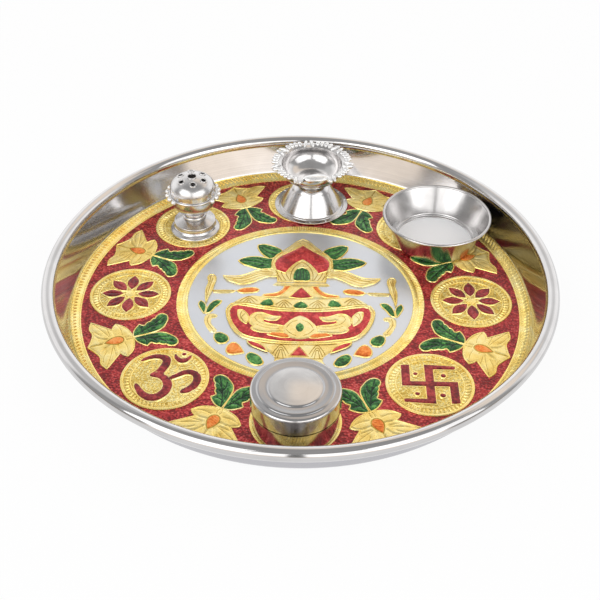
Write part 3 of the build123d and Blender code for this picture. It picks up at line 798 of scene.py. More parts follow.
def medallion(angles, floor):
    """Medallions on the seats at these angles: a floor at a height inside two ridges and a hatched band."""
    low = 0.7 * ground_top
    axis = (seat_radius, 0)
    edge = medallion_radius - 0.2
    plain = rounded([(0, low, 0), (edge, low, 0), (edge, floor, 0.1), (0, floor, 0)], 2)
    made = [(lathe(plain, axis, segments=96, closed=False), gilt)]
    for outer, inner, top in ((0, 1.5, seat_top), (4.4, 5.2, seat_top - 0.08)):
        ridge = [(medallion_radius - outer, low, 0), (medallion_radius - outer, top, 0.5),
                 (medallion_radius - inner, top, 0.4), (medallion_radius - inner, low, 0)]
        made.append((lathe(rounded(ridge), axis, segments=96), bright_gilt))
    hatch_low = floor - 0.05
    hatch = rib((medallion_radius - 4.3, 0, hatch_low), (medallion_radius - 1.6, 0.3, hatch_low), 1.1, 0.42)
    made.append((turned_copies(hatch, hatch_count, spot=axis), petal_gilt))
    return [(turned_copies(mesh.copy(), 1, angle), finish) for mesh, finish in made for angle in angles]


floor_piece("gilt_medallions", "gilding", "gold_medallions",
            *medallion((0, 180, 225, 315), field), *medallion((135,), 1.3), *medallion((45, 90, 270), 1.45))


# %% Drawing and fencing a sign
def seat(angle):
    """The middle of the medallion on this seat, in millimetres."""
    return (seat_radius * cos(radians(angle)), seat_radius * sin(radians(angle)))


def brushed(stroke):
    """The outline of a brush stroke from (x, y, half width) points along its middle."""
    points = [Vector(knot[:2]) for knot in stroke]
    left, right = [], []
    for index, (point, knot) in enumerate(zip(points, stroke)):
        along = points[min(index + 1, len(points) - 1)] - points[max(index - 1, 0)]
        across = Vector((-along.y, along.x)).normalized() * knot[2]
        left.append(tuple(point + across))
        right.append(tuple(point - across))
    first = points[0] - (points[1] - points[0]).normalized() * stroke[0][2]
    last = points[-1] + (points[-1] - points[-2]).normalized() * stroke[-1][2]
    return [tuple(first), *left, tuple(last), *reversed(right)]


def round_dot(x, y, radius):
    """The outline of a dot, as four points of a circle."""
    return [(x + radius, y), (x, y + radius), (x - radius, y), (x, y - radius)]


sign_low, sign_high = field - 0.1, field + 0.5


def sign_fence(outlines):
    """The gold wire round a sign."""
    return (wire(outlines, 0.5, field + 0.02), bright_gilt)


def enamel_sign(name, node, angle, outlines, patches=()):
    """A fenced sign in red enamel that stands out of a medallion; patches are enamel without a fence."""
    outlines, patches = [[moved(shape, seat(angle)) for shape in shapes] for shapes in (outlines, patches)]
    enamelled = puffed([*outlines, *patches], sign_low, sign_high, 1.1, spacing=0.5)
    floor_piece(name, "red_enamel", node, (enamelled, sign_red), sign_fence(outlines))


# %% Om
om_strokes = [
    [(-12.2, 11.4, 0.9), (-9.2, 13.6, 1.5), (-4.4, 14.6, 1.9), (-1, 13, 2.3), (-0.6, 9.8, 2.3),
     (-1.7, 6.4, 2.3), (-3.4, 3.6, 2.2), (-6.4, 2.2, 1.3), (-1.6, 0.9, 2), (1.2, -2.2, 2.3),
     (1.8, -6.8, 2.4), (-0.4, -11, 2.5), (-4.4, -13, 2.6), (-8.4, -11.4, 2.2), (-11, -8, 1.7),
     (-12.8, -4.6, 1)],
    [(2.2, -0.2, 1), (5.6, 2, 1.6), (9.4, 4.2, 1.9), (13, 3.8, 2), (15, 0.8, 2.1), (14.6, -3.4, 2.2),
     (12.2, -6.8, 2.2), (9.4, -8.6, 1.7)],
    [(3, 16.4, 0.6), (4.2, 13.6, 1.4), (6.8, 12, 1.9), (9.4, 13.4, 1.4), (10.6, 15.8, 0.6)]]
om_outlines = [brushed(stroke) for stroke in om_strokes] + [round_dot(7.2, 16.6, 1.3)]
cusp_patches = [round_dot(-2.7, 2.4, 2.4), round_dot(-4.7, 2.6, 1.6)]
enamel_sign("om_in_enamel", "om_sign", 225, om_outlines, cusp_patches)

# %% Swastik
arm, upright_half, level_half = 13.2, 2.2, 1.8
hook = arm - 2 * upright_half
bar = arm - 2 * level_half
half_outline = [(-upright_half, arm), (arm - 0.6, arm - 0.8), (arm - 0.4, bar), (upright_half, bar),
                (upright_half, level_half), (arm, level_half), (arm, 0.6 - arm), (hook, -arm),
                (hook, -level_half), (upright_half, -level_half)]
swastik_outline = [(x, y, 1) for x, y in half_outline + [(-x, -y) for x, y in half_outline]]
swastik_dots = [(-6.4, 6.6, 1.3), (6.6, 5.6, 1.5), (-6.2, -6.6, 1.4), (5.4, -7.4, 1.6)]
enamel_sign("swastik_in_enamel", "swastik_sign", 315,
            [swastik_outline, *[round_dot(*dot) for dot in swastik_dots]])

# %% Lotus signs
lotus_petal = [(3, 0, 1), (6.4, 2.5), (10.6, 3), (15.4, 0, 1), (10.6, -3), (6.4, -2.5)]
lotus_vein = [(5.4, 0), (8.6, 0.2), (12.6, 0)]
lotus_heart = rounded([(0, -0.1, 0), (2.6, -0.1, 0.05), (2.6, 0.3, 0.3), (0, 0.5, 0)])
lotus_parts = []
for angle in (0, 180):
    petals, veins = [[moved(shape, seat(angle), turn) for turn in range(0, 360, 45)]
                     for shape in (lotus_petal, lotus_vein)]
    lotus_parts.append((puffed(petals, sign_low, sign_high, 1.6, veins, depth=0.25, spacing=0.5), sign_red))
    lotus_parts.append(sign_fence(petals))
    lotus_parts.append((lathe(lotus_heart, seat(angle), field, 32, False), bright_gilt))
floor_piece("lotus_in_enamel", "red_enamel", "lotus_signs", *lotus_parts)

# %% [markdown]
# ## Flowers between the medallions
# Each flower has pale gold petals with engraved lines, an orange drop at its heart and a pair of
# lobed green leaves towards the centre. One half is drawn with its outside to the right and
# flipped, and the tree of copies turns the whole flower eight times.

# %% Flower petals
flower_radius = 95.1
flower_count = 8
flower_turn = 22.5
petal_low, petal_high = ground_top - 0.1, 1.52


def on_ring(outline):
    """A flower drawing set at the flowers' distance from the centre."""
    return [(x + flower_radius, *rest) for x, *rest in outline]


def flipped(outline):
    """The image of an outline across the flower's middle line."""
    return [(x, -y, *mark) for x, y, *mark in outline]


def on_both_sides(lines):
    """Lines of half a flower and their images, set on the ring."""
    return [on_ring(line) for line in lines + [flipped(line) for line in lines]]


def flower_piece(name, slot, node, *shapes):
    """A piece of all the flowers from the shapes of one."""
    floor_piece(name, slot, node, *[(turned_copies(mesh, flower_count, flower_turn), finish)
                                    for mesh, finish in shapes])


upper_petals = [
    (-7.8, 1.6), (-7.2, 5.2), (-5.2, 9.4), (-2.2, 12.3, 1), (-0.8, 10.9), (0.6, 8.6, 1), (3, 11.2),
    (9, 17.5, 1), (10.7, 13.3), (10.2, 8.6), (11.8, 4.2), (14.2, 0, 1)]
petal_outline = on_ring(upper_petals + flipped(upper_petals[-2::-1]))
half_valleys = [[(0.2, 3), (0.5, 5.6), (0.6, 8.4)], [(4.4, 2.4), (8, 4.6), (10.3, 8.8)]]
half_lines = [
    [(-3.2, 3), (-3.6, 6.6), (-2.6, 11.4)], [(3, 4), (5.2, 9.4), (8.6, 16.4)], [(7, 0.3), (13.4, 0.1)],
    [(-4.2, 0.8), (-6, 1), (-7.4, 0.6)], [(2.4, 4.4), (2.6, 7), (2.8, 10.2)],
    [(6.4, 6.2), (8.4, 9), (9.6, 13)]]
petal_grooves = on_both_sides(half_valleys) * 2 + on_both_sides(half_lines)
flower_piece("gilt_flowers", "gilding", "flower_petals",
             (puffed([petal_outline], petal_low, petal_high, 1.9, petal_grooves, spacing=0.45), petal_gilt),
             (wire([petal_outline], 0.46, 1.14), bright_gilt),
             (wire(on_both_sides(half_lines), 0.15, 1.3, False), olive_gilt))

# %% Flower hearts
half_heart = [(-3.3, 0), (-2.4, 1.9), (0.2, 2.75), (3.2, 1.9), (6.1, 0, 1)]
heart_outline = on_ring(half_heart + flipped(half_heart[-2:0:-1]))
heart_grooves = [on_ring([(x - 0.9, -w), (x, 0), (x + 0.9, w)])
                 for x, w in ((-1.6, 1.7), (-0.4, 2.1), (0.8, 2.1), (2, 1.8), (3.2, 1.3))]
flower_piece("flower_drops", "orange_enamel", "flower_hearts",
             (puffed([heart_outline], 1.3, 1.68, 1.2, heart_grooves, depth=0.12, spacing=0.35, width=0.25),
              orange_enamel),
             (wire([heart_outline], 0.42, 1.36), olive_gilt))

# %% Flower leaves
leaf_upper = [
    (-8.3, 0.35, 1), (-8.9, 3.3), (-10.8, 6.2), (-13, 8.3, 1), (-14.4, 7), (-15.3, 6.6, 1), (-17.4, 8.4),
    (-18.6, 8.5, 1), (-20.6, 10.1), (-21.6, 10.2, 1), (-23, 11.8), (-25.2, 12.5), (-27.3, 11), (-27.6, 8.6),
    (-25.6, 4.6), (-22.7, 1.6), (-17.7, 0.35)]
leaf_outlines = [on_ring(leaf_upper), on_ring(flipped(leaf_upper[::-1]))]
half_veins = [
    [(-9.4, 1), (-14.5, 3.2), (-20, 6.2), (-26, 10.2)], [(-13, 2.6), (-13.4, 4.8), (-12.9, 6.9)],
    [(-17, 4.6), (-17.8, 6.2), (-18, 7.4)], [(-20.5, 6.6), (-21.8, 8.2), (-22.6, 10.2)],
    [(-18, 5), (-21, 4.6), (-24.4, 5.6)], [(-12, 1.9), (-15.4, 1.7), (-19.6, 2.6)]]
leaf_veins = on_both_sides(half_veins)
# The dark green wires in the vein grooves are painted shade.
flower_piece("flower_leaf_pairs", "green_enamel", "flower_leaves",
             (puffed(leaf_outlines, petal_low, 1.55, 1.8, leaf_veins, depth=0.36, spacing=0.45, width=0.5),
              green_enamel),
             (wire(leaf_veins, 0.3, 1.24, False), vein_shade_green), (wire(leaf_outlines, 0.36, 1.08), bright_gilt))

# %% [markdown]
# ## Kalash
# The kalash is a water pot with a coconut and mango leaves, the sign of plenty. On the pale disc
# it is stamped in gilding with red, green and orange enamel laid into it. All its shapes are drawn
# on the right and mirrored, and each gilt one stands a hair higher than the last, so that no two
# faces coincide.

# %% Place of the kalash
kalash_low, kalash_top = floor_top - 0.1, 1.2
kalash_size = Matrix.Diagonal((1.018, 1.018, 1, 1))
kalash_place = Matrix.Translation(Vector((0.3, -1.5, 0)) * MM) @ kalash_size


def kalash_piece(name, slot, parts):
    """A piece of the kalash, with its drawings set in their place on the disc."""
    for mesh, _ in parts:
        mesh.transform(kalash_place)
    floor_piece(name, slot, f"kalash_{slot}", *parts)


# %% Kalash gilding: the pot and the coconut
coconut = whole([
    (0, 51, 1), (3.2, 48.6), (6.2, 44.6), (10, 40.2), (14, 35.6), (15.7, 31), (15.4, 26), (14.2, 22.8),
    (12.8, 19), (12.2, 14, 1)])
lip = whole([(0, 13.8), (13, 13.8, 1), (14.8, 11.4, 1), (12.6, 10.6, 1), (0, 10.6)])
neck = whole([
    (0, 10.8), (8.9, 10.8, 1), (10.3, 7.3), (12.9, 5.2), (16.4, 4.2), (20, 3.4, 1), (19.2, 0.8, 1),
    (0, 0.8)])
shoulder = whole([
    (0, 0.9), (8, 0.9), (14, 1.2), (20, 2.2), (25, 2.6), (29, 1), (33, -2.2), (35.4, -5.4, 1), (32, -4.3),
    (28, -4.7), (20, -6.4), (10, -8), (0, -8.6)])
pot = whole([
    (0, -8.2), (10, -7.7), (20, -6.2), (28, -4.4), (34.6, -4.6, 1), (36.5, -9), (36.2, -13.2),
    (34.8, -18.2), (32.6, -23.2), (29.6, -27.6), (25.4, -30.4), (18.4, -32.2), (10, -33.4), (0, -33.8)])
foot = whole([
    (0, -33.2), (14, -33), (21.4, -32), (18.2, -35.6), (13.8, -40), (11.4, -43.4), (12.4, -47),
    (14.2, -49.4, 1), (0, -49.4)])
gold_leaf = [
    (13.4, 23.2), (19.5, 23.9), (24, 22.3), (28.6, 19.4), (32.6, 17.7), (37, 17.4), (40.4, 17.6, 1),
    (38, 14.4), (34.6, 12.5), (30.5, 11), (26.4, 12), (21.6, 15.2), (17.4, 17.7), (12.6, 18.4)]
bud = [
    (44, 15.2), (44.8, 17.6), (46.6, 18.4), (48, 17), (47.4, 12.5), (48.2, 6.5), (48, 1.5), (47.2, -4.5, 1),
    (46.6, 0.5), (45.2, 6), (44.6, 10.5)]
stem = [(32.6, 6.6, 1), (36, 6.9), (45, 6.5, 1), (44.4, 3.9, 1), (38, 3.8), (33.4, 5.2)]
scroll = [
    (40.6, -13.4), (43, -12.2), (46.4, -13.4), (47, -17), (45.8, -21.5), (43.4, -26, 1), (40.6, -26.4),
    (40, -24.4), (41.6, -22), (43.4, -18.4), (43, -15.8), (41.2, -15.2)]
gold_shapes = [[coconut], [lip], [neck], [shoulder], [pot], [foot], both(gold_leaf), both(bud), both(stem),
               both(scroll)]
layer = 0.02
kalash_parts = [(puffed(shapes, kalash_low, kalash_top + 0.1 + layer * index, 1.3), pale_gilt)
                for index, shapes in enumerate(gold_shapes)]
print("kalash shapes:", len(kalash_parts))

# %% Kalash gilding: the birds and the fences
bird = [
    (9.4, -13.9, 1), (13, -13.8), (16, -12.6), (18.5, -11.4), (21.5, -11.4), (24, -13.2), (24.9, -16),
    (24.6, -19), (22.8, -21.4, 1), (23.6, -23.2), (21.5, -25), (18, -26), (15.2, -26.2, 1), (8.4, -25.4, 1),
    (8, -21, 1), (11, -20.2), (15, -19.4), (18, -17.6), (17.6, -16.3, 1), (14, -17.2), (11, -16.4)]
wing = [(25.4, -14.2), (27, -11.2), (29.6, -9.3), (31, -9.8, 1), (30.2, -15), (28, -18.6), (25.9, -20, 1)]
lotus_middle = whole([
    (0, -12.6, 1), (3.4, -14.6), (6.8, -18.5), (8.4, -21, 1), (8.6, -25.6), (5.4, -29.6, 1), (0, -30.8)])
for shapes, top in ((both(bird), 1.85), (both(wing), 1.8), ([lotus_middle], 1.8)):
    kalash_parts.append((puffed(shapes, kalash_top, top, 1.4, spacing=0.5), pale_gilt))
coconut_red = whole([
    (0, 45.6, 1), (3, 42.6), (8, 38.4), (12, 34.8), (14, 31.4), (14.4, 28), (13.4, 23.4, 1), (8.5, 20.8, 1),
    (6.2, 25.2), (3, 29.8), (0, 32.4, 1)])
pot_red = whole([
    (0, -9.6), (10, -9.4), (20, -7.9), (28, -6), (33, -5.9), (34.7, -8.4), (34.9, -12.6), (33.6, -17.6),
    (31.6, -22.2), (28.6, -26.4), (24.6, -28.9), (18, -30.5), (10, -31.9), (0, -32.4)])
neck_red = [(0, 9.6, 1), (3, 5.8), (5.9, 1.2, 1), (0, 0.3), (-5.9, 1.2, 1), (-3, 5.8)]
foot_red = [(0, -35, 1), (-4.5, -42.4, 1), (4.5, -42.4, 1)]
slip_red = [(25, -31.6, 1), (24, -34.2), (19.4, -37.4), (14.8, -39.8, 1), (16.4, -36.4), (20.6, -33)]
fences = [coconut, coconut_red, pot, pot_red, neck_red, foot_red, *both(slip_red, gold_leaf, bird, wing, bud)]
kalash_parts.append((wire(fences, 0.36, kalash_top + 0.24), bright_gilt))
print("fences:", len(fences))


# %% Kalash gilding: the engraving
def chevrons(x, y, half, drop, bend, fall, narrowing):
    """Three small pointed arches, one in another, by the peak, half width and drop of the outer one."""
    arches = []
    for step in range(3):
        reach, peak = half - narrowing * step, y - fall * step
        sides = [(reach, drop), (reach * bend, drop * bend * 0.7)]
        arches.append([(x - across, peak - down) for across, down in sides] + [(x, peak)]
                      + [(x + across, peak - down) for across, down in reversed(sides)])
    return arches


arches = [*chevrons(8.4, -1.2, 4, 3.6, 0.36, 1.4, 1.35), *chevrons(26, 1.2, 4.4, 3.6, 0.36, 1.4, 1.4),
          *chevrons(8.6, -34.8, 3.8, 6.2, 0.5, 1.6, 1.2)]
leaf_lines = [
    [(15, 21.6), (21, 21.6), (27, 18.4), (33, 15.4), (39, 16.8)],
    [(15, 19.8), (20, 19), (26, 15.6), (31, 13.4), (36, 14.6)],
    [(14.6, 20.8), (22, 19.8), (29, 16), (35, 15)]]
skirt_lines = [
    [(6, 15), (7.4, 18), (8.2, 20.4)], [(8, 14.8), (9.6, 17.8), (10.8, 21.6)],
    [(10.2, 14.8), (11.8, 18.4), (13.2, 22.2)],
    [(0, 30.6), (2.6, 28.2), (5, 23.4), (5.8, 18.4), (5.4, 14.8)]]
band_lines = [
    [(0, -7.4), (10, -6.9), (20, -5.3), (28, -3.6), (33, -3.6)], [(0, -34.4), (10, -34.2), (18, -33.4)],
    [(2, -44), (8, -44), (11.6, -43.8)]]
garland_lines = [
    [(45.4, 15.4), (46.4, 9), (47.2, 1)], [(46.8, 16.4), (46.4, 12)],
    [(44.6, -14.4), (45.2, -18), (42, -24.6)], [(34, 5.8), (38, 5.4), (44.6, 5.2)]]
bird_lines = [
    [(11, -21.6), (16, -20.8), (20.4, -18.6), (22.4, -15.2)], [(10, -23.4), (16, -23), (21, -20.8)],
    [(18.6, -13.6), (20.8, -13.2), (22, -15)], [(27.2, -12.8), (28.6, -15.4), (27.6, -18)],
    [(28.8, -11), (29.4, -13.6), (28.8, -16.6)], [(1.2, -16.8), (4.2, -18.6), (6.4, -22.4)],
    [(1.6, -28.4), (4.4, -26.6), (6.8, -23.6)]]
low_lines = both(*arches, *leaf_lines, *skirt_lines, *band_lines, *garland_lines)
for lines, height in ((low_lines, kalash_top + 0.28), (both(*bird_lines), 1.82)):
    kalash_parts.append((wire(lines, 0.16, height, False), olive_gilt))
print("engraved lines:", len(low_lines) + 2 * len(bird_lines))

# %% Kalash enamel outlines
drop = whole([(0, 26, 1), (2.6, 24.6), (4.1, 21.5), (4.5, 18), (4, 15.2), (0, 14.8)])
upper_leaf = [
    (10.8, 39.6), (13, 42.8), (17, 45), (21, 46.2), (24, 45.4, 1), (24, 43.2), (22.2, 38.8), (19.6, 35.4),
    (16.8, 33.6), (14.4, 35), (12.4, 37.2)]
lower_leaf = [
    (15.7, 33.2), (18, 33.8), (22, 34.8), (27, 34.9), (31, 33.6), (33.6, 31.4, 1), (31.8, 29), (27.5, 26.6),
    (22.5, 24.6), (18.2, 24), (16.2, 25), (16, 28.6)]
band_drop = [(13.6, -5.2), (14, -2.4), (15.6, -0.2), (17.6, -0.8), (19.6, -2.8), (20.3, -5.2), (17, -6.2)]
middle_drop = whole([(0, -1.6, 1), (2, -3), (3.6, -6.2), (0, -7.6)])
lotus_drop = whole([(0, -18.4, 1), (1.8, -20.4), (2.1, -23), (0, -25.6)])
sprig_in = [
    (39.6, -2.2, 1), (42.2, -1.9), (44.6, -4), (46.2, -8), (46.6, -12.2, 1), (44.8, -11.4), (42.4, -7.4),
    (40.2, -4.2)]
sprig_out = [(50, -2.4, 1), (50.8, -4.6), (49.6, -8.4), (47.4, -12.4, 1), (46.9, -8), (47.9, -4.4)]
upper_drop = [
    (36, -27.4), (39, -26.2), (41, -27.6, 1), (40.6, -31), (38, -34), (35, -33.6, 1), (33.8, -31.4),
    (34.4, -29)]
lower_drop = [
    (23, -40, 1), (24.5, -41.8), (24, -45), (21.5, -48), (18.4, -48.8, 1), (16.6, -47.4), (17, -45),
    (18.6, -42.4), (21, -40.6)]
neck_orange = [
    (5.3, 10.3, 1), (8.4, 10.3, 1), (9.7, 7.2), (12.3, 4.8), (16, 3.7), (19, 3, 1), (18.4, 1.5, 1),
    (14.5, 1.3), (11.7, 1.8), (9.1, 3.9), (7.1, 6.8)]
slip_orange = [
    (21.4, 7.2), (23, 8.5), (27, 8.6), (30.5, 7.6), (32.6, 6, 1), (30.5, 4.6), (26, 4.6), (22.6, 5.5)]
pot_orange = [
    (4.2, -28.9, 1), (6, -26.8), (10, -25.9), (14, -26.1), (15.6, -27.6, 1), (12, -28.7), (6, -29.6)]
drop_orange = [
    (31.2, -33.2), (33.4, -35), (34.4, -38.4), (33.4, -41), (31.4, -41.7), (28.8, -41.2), (25.8, -40.4, 1),
    (27.4, -37), (29.4, -34.2)]
floor_motifs = both(upper_leaf, lower_leaf, sprig_in, sprig_out, upper_drop, lower_drop, slip_orange,
                    drop_orange)
pot_motifs = [drop, middle_drop, *both(band_drop, neck_orange)]
enamel_fences = [(floor_motifs, 0.4, kalash_top - 0.25), (pot_motifs, 0.28, kalash_top + 0.2),
                 ([lotus_drop, *both(pot_orange)], 0.26, 1.56)]
kalash_parts += [(wire(shapes, radius, height), bright_gilt) for shapes, radius, height in enamel_fences]
kalash_piece("kalash_gilt", "gilding", kalash_parts)

# %% Kalash enamel
fill_low = kalash_top - 0.1
red_fills = [([coconut_red], 2.1, 4.5), ([pot_red], 1.5, 1), ([neck_red], 1.62, 1.2), ([foot_red], 1.62, 1.2),
             (both(slip_red), 1.6, 1.2)]
kalash_piece("kalash_red", "red_enamel", [(puffed(shapes, fill_low, top, edge), pot_red_enamel)
                                          for shapes, top, edge in red_fills])
leaf_ribs = both(
    [(12.4, 39.2), (16, 40.6), (20, 43.2), (23.4, 45)], [(14.6, 36.6), (18.4, 38.8), (21.6, 42)],
    [(17.2, 28.6), (22, 29.8), (27, 30.6), (32.4, 31.2)], [(19, 30.4), (22, 32.4), (26, 33.4)],
    [(19, 27.4), (23, 26.8), (27.6, 28.4)])
drop_ribs = [[(x, 15.6), (x * 1.05, 19), (x * 0.7, 23.6)] for x in (-2.6, -0.9, 0.9, 2.6)]
green_fills = [(both(upper_leaf, lower_leaf), kalash_low, 1.5, 1.5), ([drop], fill_low, 1.75, 1.4),
               (both(sprig_in, sprig_out, upper_drop, lower_drop), kalash_low, 1.5, 1.2),
               ([middle_drop, *both(band_drop)], fill_low, 1.7, 1.2), ([lotus_drop], 1.6, 2, 0.9)]
green_grooves = {"grooves": leaf_ribs + drop_ribs, "depth": 0.36, "spacing": 0.45, "width": 0.45}
green_parts = [(puffed(shapes, low, top, edge, **green_grooves), green_enamel)
               for shapes, low, top, edge in green_fills]
# Painted shade: dark green wires in the rib grooves of the leaves and the drop.
green_parts.append((wire(leaf_ribs, 0.28, 1.2, False), vein_shade_green))
green_parts.append((wire(drop_ribs, 0.24, 1.44, False), vein_shade_green))
kalash_piece("kalash_green", "green_enamel", green_parts)
orange_fills = [(both(neck_orange), fill_low, 1.6, 1), (both(slip_orange, drop_orange), kalash_low, 1.5, 1.4),
                (both(pot_orange), 1.45, 1.8, 0.9)]
kalash_piece("kalash_orange", "orange_enamel", [(puffed(shapes, low, top, edge, spacing=0.5), orange_enamel)
                                                for shapes, low, top, edge in orange_fills])

# %% [markdown]
# ## Incense stand
# A foot with a bright shoulder, a neck with two rings, a cup, a thin lip with pearls round its back
# and sides, and a domed cap with seven holes. The cap is turned, then the holes are cut with a
# Boolean, and each gets a raised lip.

# %% Incense foot, neck and cup
bodies = {"incense": "incense_stand", "lamp": "lamp", "bowl": "bowl", "box": "box"}


def turned(profile, vessel, segments, closed=True):
    """A mesh turned on a vessel's own axis, above its seat."""
    return lathe(profile, vessel_spots[vessel], seat_top, segments, closed)


def steel_piece(name, vessel, node, *meshes, slot="polished_steel"):
    """A piece of a vessel in the vessel's own steel."""
    piece(name, bodies[vessel], node, [(mesh, steel[vessel]) for mesh in meshes])


bore = 1.6
ball_radius = 12.4
neck_low, cup_low, cup_high = 8.5, 13.0, 23.0
foot_profile = rounded([
    (12.5, 0, 0), (13.6, 0, 0.4), (13.6, 1.5, 0.6), (11.6, 2.3, 0.5), (10.6, 3.6, 1), (10.8, 5.5, 0.6),
    (11.4, 6, 0.25), (11.3, 6.5, 0.25), (10.6, 6.7, 0.2), (6.7, 8.3, 0.4), (5.6, neck_low, 0),
    (5.6, 7.7, 0), (8.5, 5.6, 0.4), (8.5, 2.2, 0.4)], 4)
steel_piece("incense_foot_turned", "incense", "incense_foot", turned(foot_profile, "incense", 96))
neck_profile = [(bore, neck_low), *arc((5.5, 9.6), 1.1, -90, 90, 8), *arc((5.3, 11.9), 1.1, -90, 90, 8),
                (bore, cup_low)]
steel_piece("incense_neck_turned", "incense", "incense_neck", turned(neck_profile, "incense", 72))
cup_in = 5.5
cup_out = ball_radius - cup_in
cup_outside = quarter((cup_in, cup_low), cup_out, cup_high - cup_low)
cup_inside = [(r - 0.6, z + 0.55 * (1 - (r - cup_in) / cup_out)) for r, z in reversed(cup_outside)]
cup_profile = [(bore, cup_low), *cup_outside, *cup_inside, (bore, cup_low + 0.6)]
steel_piece("incense_cup_turned", "incense", "incense_cup", turned(cup_profile, "incense", 96))

# %% Incense lip and pearls
lip_middle, lip_in = 23.7, 11.8
pearl_radius, pearl_circle = 1.25, 13.9
pearl_count, first_pearl, pearl_step = 17, -36.0, 16.5
lip_profile = [(lip_in, lip_middle - 0.6), *arc((12.6, lip_middle), 0.7, -100, 100, 10),
               (lip_in, lip_middle + 0.6)]
pearl = egg([pearl_radius] * 3, Matrix.Translation((pearl_circle, 0, lip_middle)), 16)
pearls = turned_copies(pearl, pearl_count, first_pearl, pearl_step, vessel_spots["incense"], seat_top)
piece("incense_lip_and_pearls", "incense_stand", "incense_collar",
      [(turned(lip_profile, "incense", 96), steel["incense"]), (pearls, silver)])

# %% Incense cap
cap_high, cap_low, cap_wall = 34.15, 24.4, 0.6
crown_radius, corner_radius = 22.0, 7.0
crown_centre = cap_high - crown_radius
corner_reach = ball_radius - corner_radius
corner_turn = degrees(acos(corner_reach / (crown_radius - corner_radius)))
corner_centre = (corner_reach, crown_centre + (crown_radius - corner_radius) * sin(radians(corner_turn)))
cap_outside = [(ball_radius, cap_low), *arc(corner_centre, corner_radius, 0, corner_turn, 12),
               *arc((0, crown_centre), crown_radius, corner_turn, 90, 10)[1:]]
cap_inside = [*arc((0, crown_centre), crown_radius - cap_wall, 90, corner_turn, 10),
              *arc(corner_centre, corner_radius - cap_wall, corner_turn, 0, 12)[1:],
              (ball_radius - cap_wall, cap_low)]
centre_hole, side_hole, side_count = 2.2, 1.3, 6
hole_circle, hole_turn = 6.8, 40.0
hole_tilt = degrees(asin(hole_circle / crown_radius))
drill_low, drill_high = crown_radius - 4, crown_radius + 4


def tilted(mesh, turn=0.0):
    """Tips a mesh drawn about the upright axis over from the crown's centre to a side hole."""
    mesh.transform(Matrix.Rotation(radians(turn), 4, "Z") @ Matrix.Rotation(radians(hole_tilt), 4, "Y"))
    return mesh


def drill(radius):
    """A closed rod that points upwards, across the crown."""
    rod = [(0, drill_low), (radius, drill_low), (radius, drill_high), (0, drill_high)]
    return lathe(rod, segments=24, closed=False)


side_drills = [tilted(drill(side_hole), hole_turn + 360 / side_count * step) for step in range(side_count)]
drill_work = bmesh.new()
for mesh in (drill(centre_hole), *side_drills):
    gather(drill_work, mesh)
drills_mesh = as_mesh(drill_work, "drills")
drills_mesh.transform(Matrix.Translation(Vector((*vessel_spots["incense"], seat_top + crown_centre)) * MM))
drills = bpy.data.objects.new("drills", drills_mesh)
scene.collection.objects.link(drills)
cap_blank = bpy.data.objects.new("cap_blank", turned(cap_outside + cap_inside, "incense", 96))
boolean = cap_blank.modifiers.new("holes", "BOOLEAN")
boolean.object = drills
boolean.operation = "DIFFERENCE"
boolean.solver = "EXACT"
drilled = shown_mesh(cap_blank)
bpy.data.objects.remove(drills)
print("cap faces after drilling:", len(drilled.polygons))

# %% Lips of the cap's holes
crown_base = seat_top + crown_centre
side_lip = tilted(lathe(arc((side_hole + 0.35, crown_radius), 0.45, 0, 330, 11), segments=24))
side_lips = turned_copies(side_lip, side_count, hole_turn, None, vessel_spots["incense"], crown_base)
centre_lip = lathe(arc((centre_hole + 0.4, crown_radius - 0.16), 0.42, 0, 330, 11), vessel_spots["incense"],
                   crown_base, 32)
steel_piece("incense_cap", "incense", "incense_dome", drilled, side_lips, centre_lip)

# %% [markdown]
# ## Oil lamp
# The lamp stands on a steel bell with a flat flange. Its cup carries a cast frill: a scalloped edge
# with seven leaf-shaped spouts for wicks and one broad leaf, folded up, at the front. The frill's
# shell follows a rule of the angle, so it is a grid of points whose height and reach come from that
# rule. Bright eggs set on it make the scallops, the two sides of each spout and the folded leaf.

# %% Lamp bell
lamp = vessel_spots["lamp"]
neck_ring_low, dish_low = 15.5, 17.1
mark_count, first_mark = 14, 12.0
bell_profile = rounded([
    (18.4, 0, 0), (20.9, 0, 0.2), (20.9, 0.75, 0.25), (18.5, 0.85, 0.15), (18.1, 1.3, 0.3),
    (17.5, 1.5, 0.25), (17.1, 2.1, 0.3), (11.2, 11.5, 1.2), (10.5, 12.9, 0.8), (8.7, 14.6, 1),
    (6.9, 15.5, 0.5), (2, 15.5, 0), (2, 14.7, 0), (6.5, 14.7, 0.8), (10.1, 11.3, 1), (16.3, 1.3, 0.5)], 4)
flange_mark = rib((18.9, -0.5, 0.8), (20.4, 0.5, 0.8), 0.9, 0.3)
steel_piece("lamp_bell", "lamp", "lamp_foot", turned(bell_profile, "lamp", 128),
            turned_copies(flange_mark, mark_count, first_mark, None, lamp, seat_top))
lamp_neck_profile = [(bore, neck_ring_low), *arc((6.1, 16.3), 0.8, -90, 90, 8), (bore, dish_low)]
steel_piece("lamp_neck_ring", "lamp", "lamp_neck", turned(lamp_neck_profile, "lamp", 72))

# %% Lamp cup
dish_radius, dish_high, dish_wall = 17.3, 27.6, 0.45
dish_curve = 9.4
dish_bend = quarter((dish_radius - dish_curve, dish_low), dish_curve, dish_curve)
dish_outside = [Vector((bore, dish_low)), *dish_bend, Vector((dish_radius, dish_high - 0.2))]
dish_inside = [(r - dish_wall * min(1, (r / dish_radius) ** 2 + 0.02),
                z + dish_wall * (1 - (r / dish_radius) ** 3)) for r, z in reversed(dish_outside)]
steel_piece("lamp_cup", "lamp", "lamp_dish", turned([*dish_outside, *dish_inside], "lamp", 112),
            slot="bright_silver")

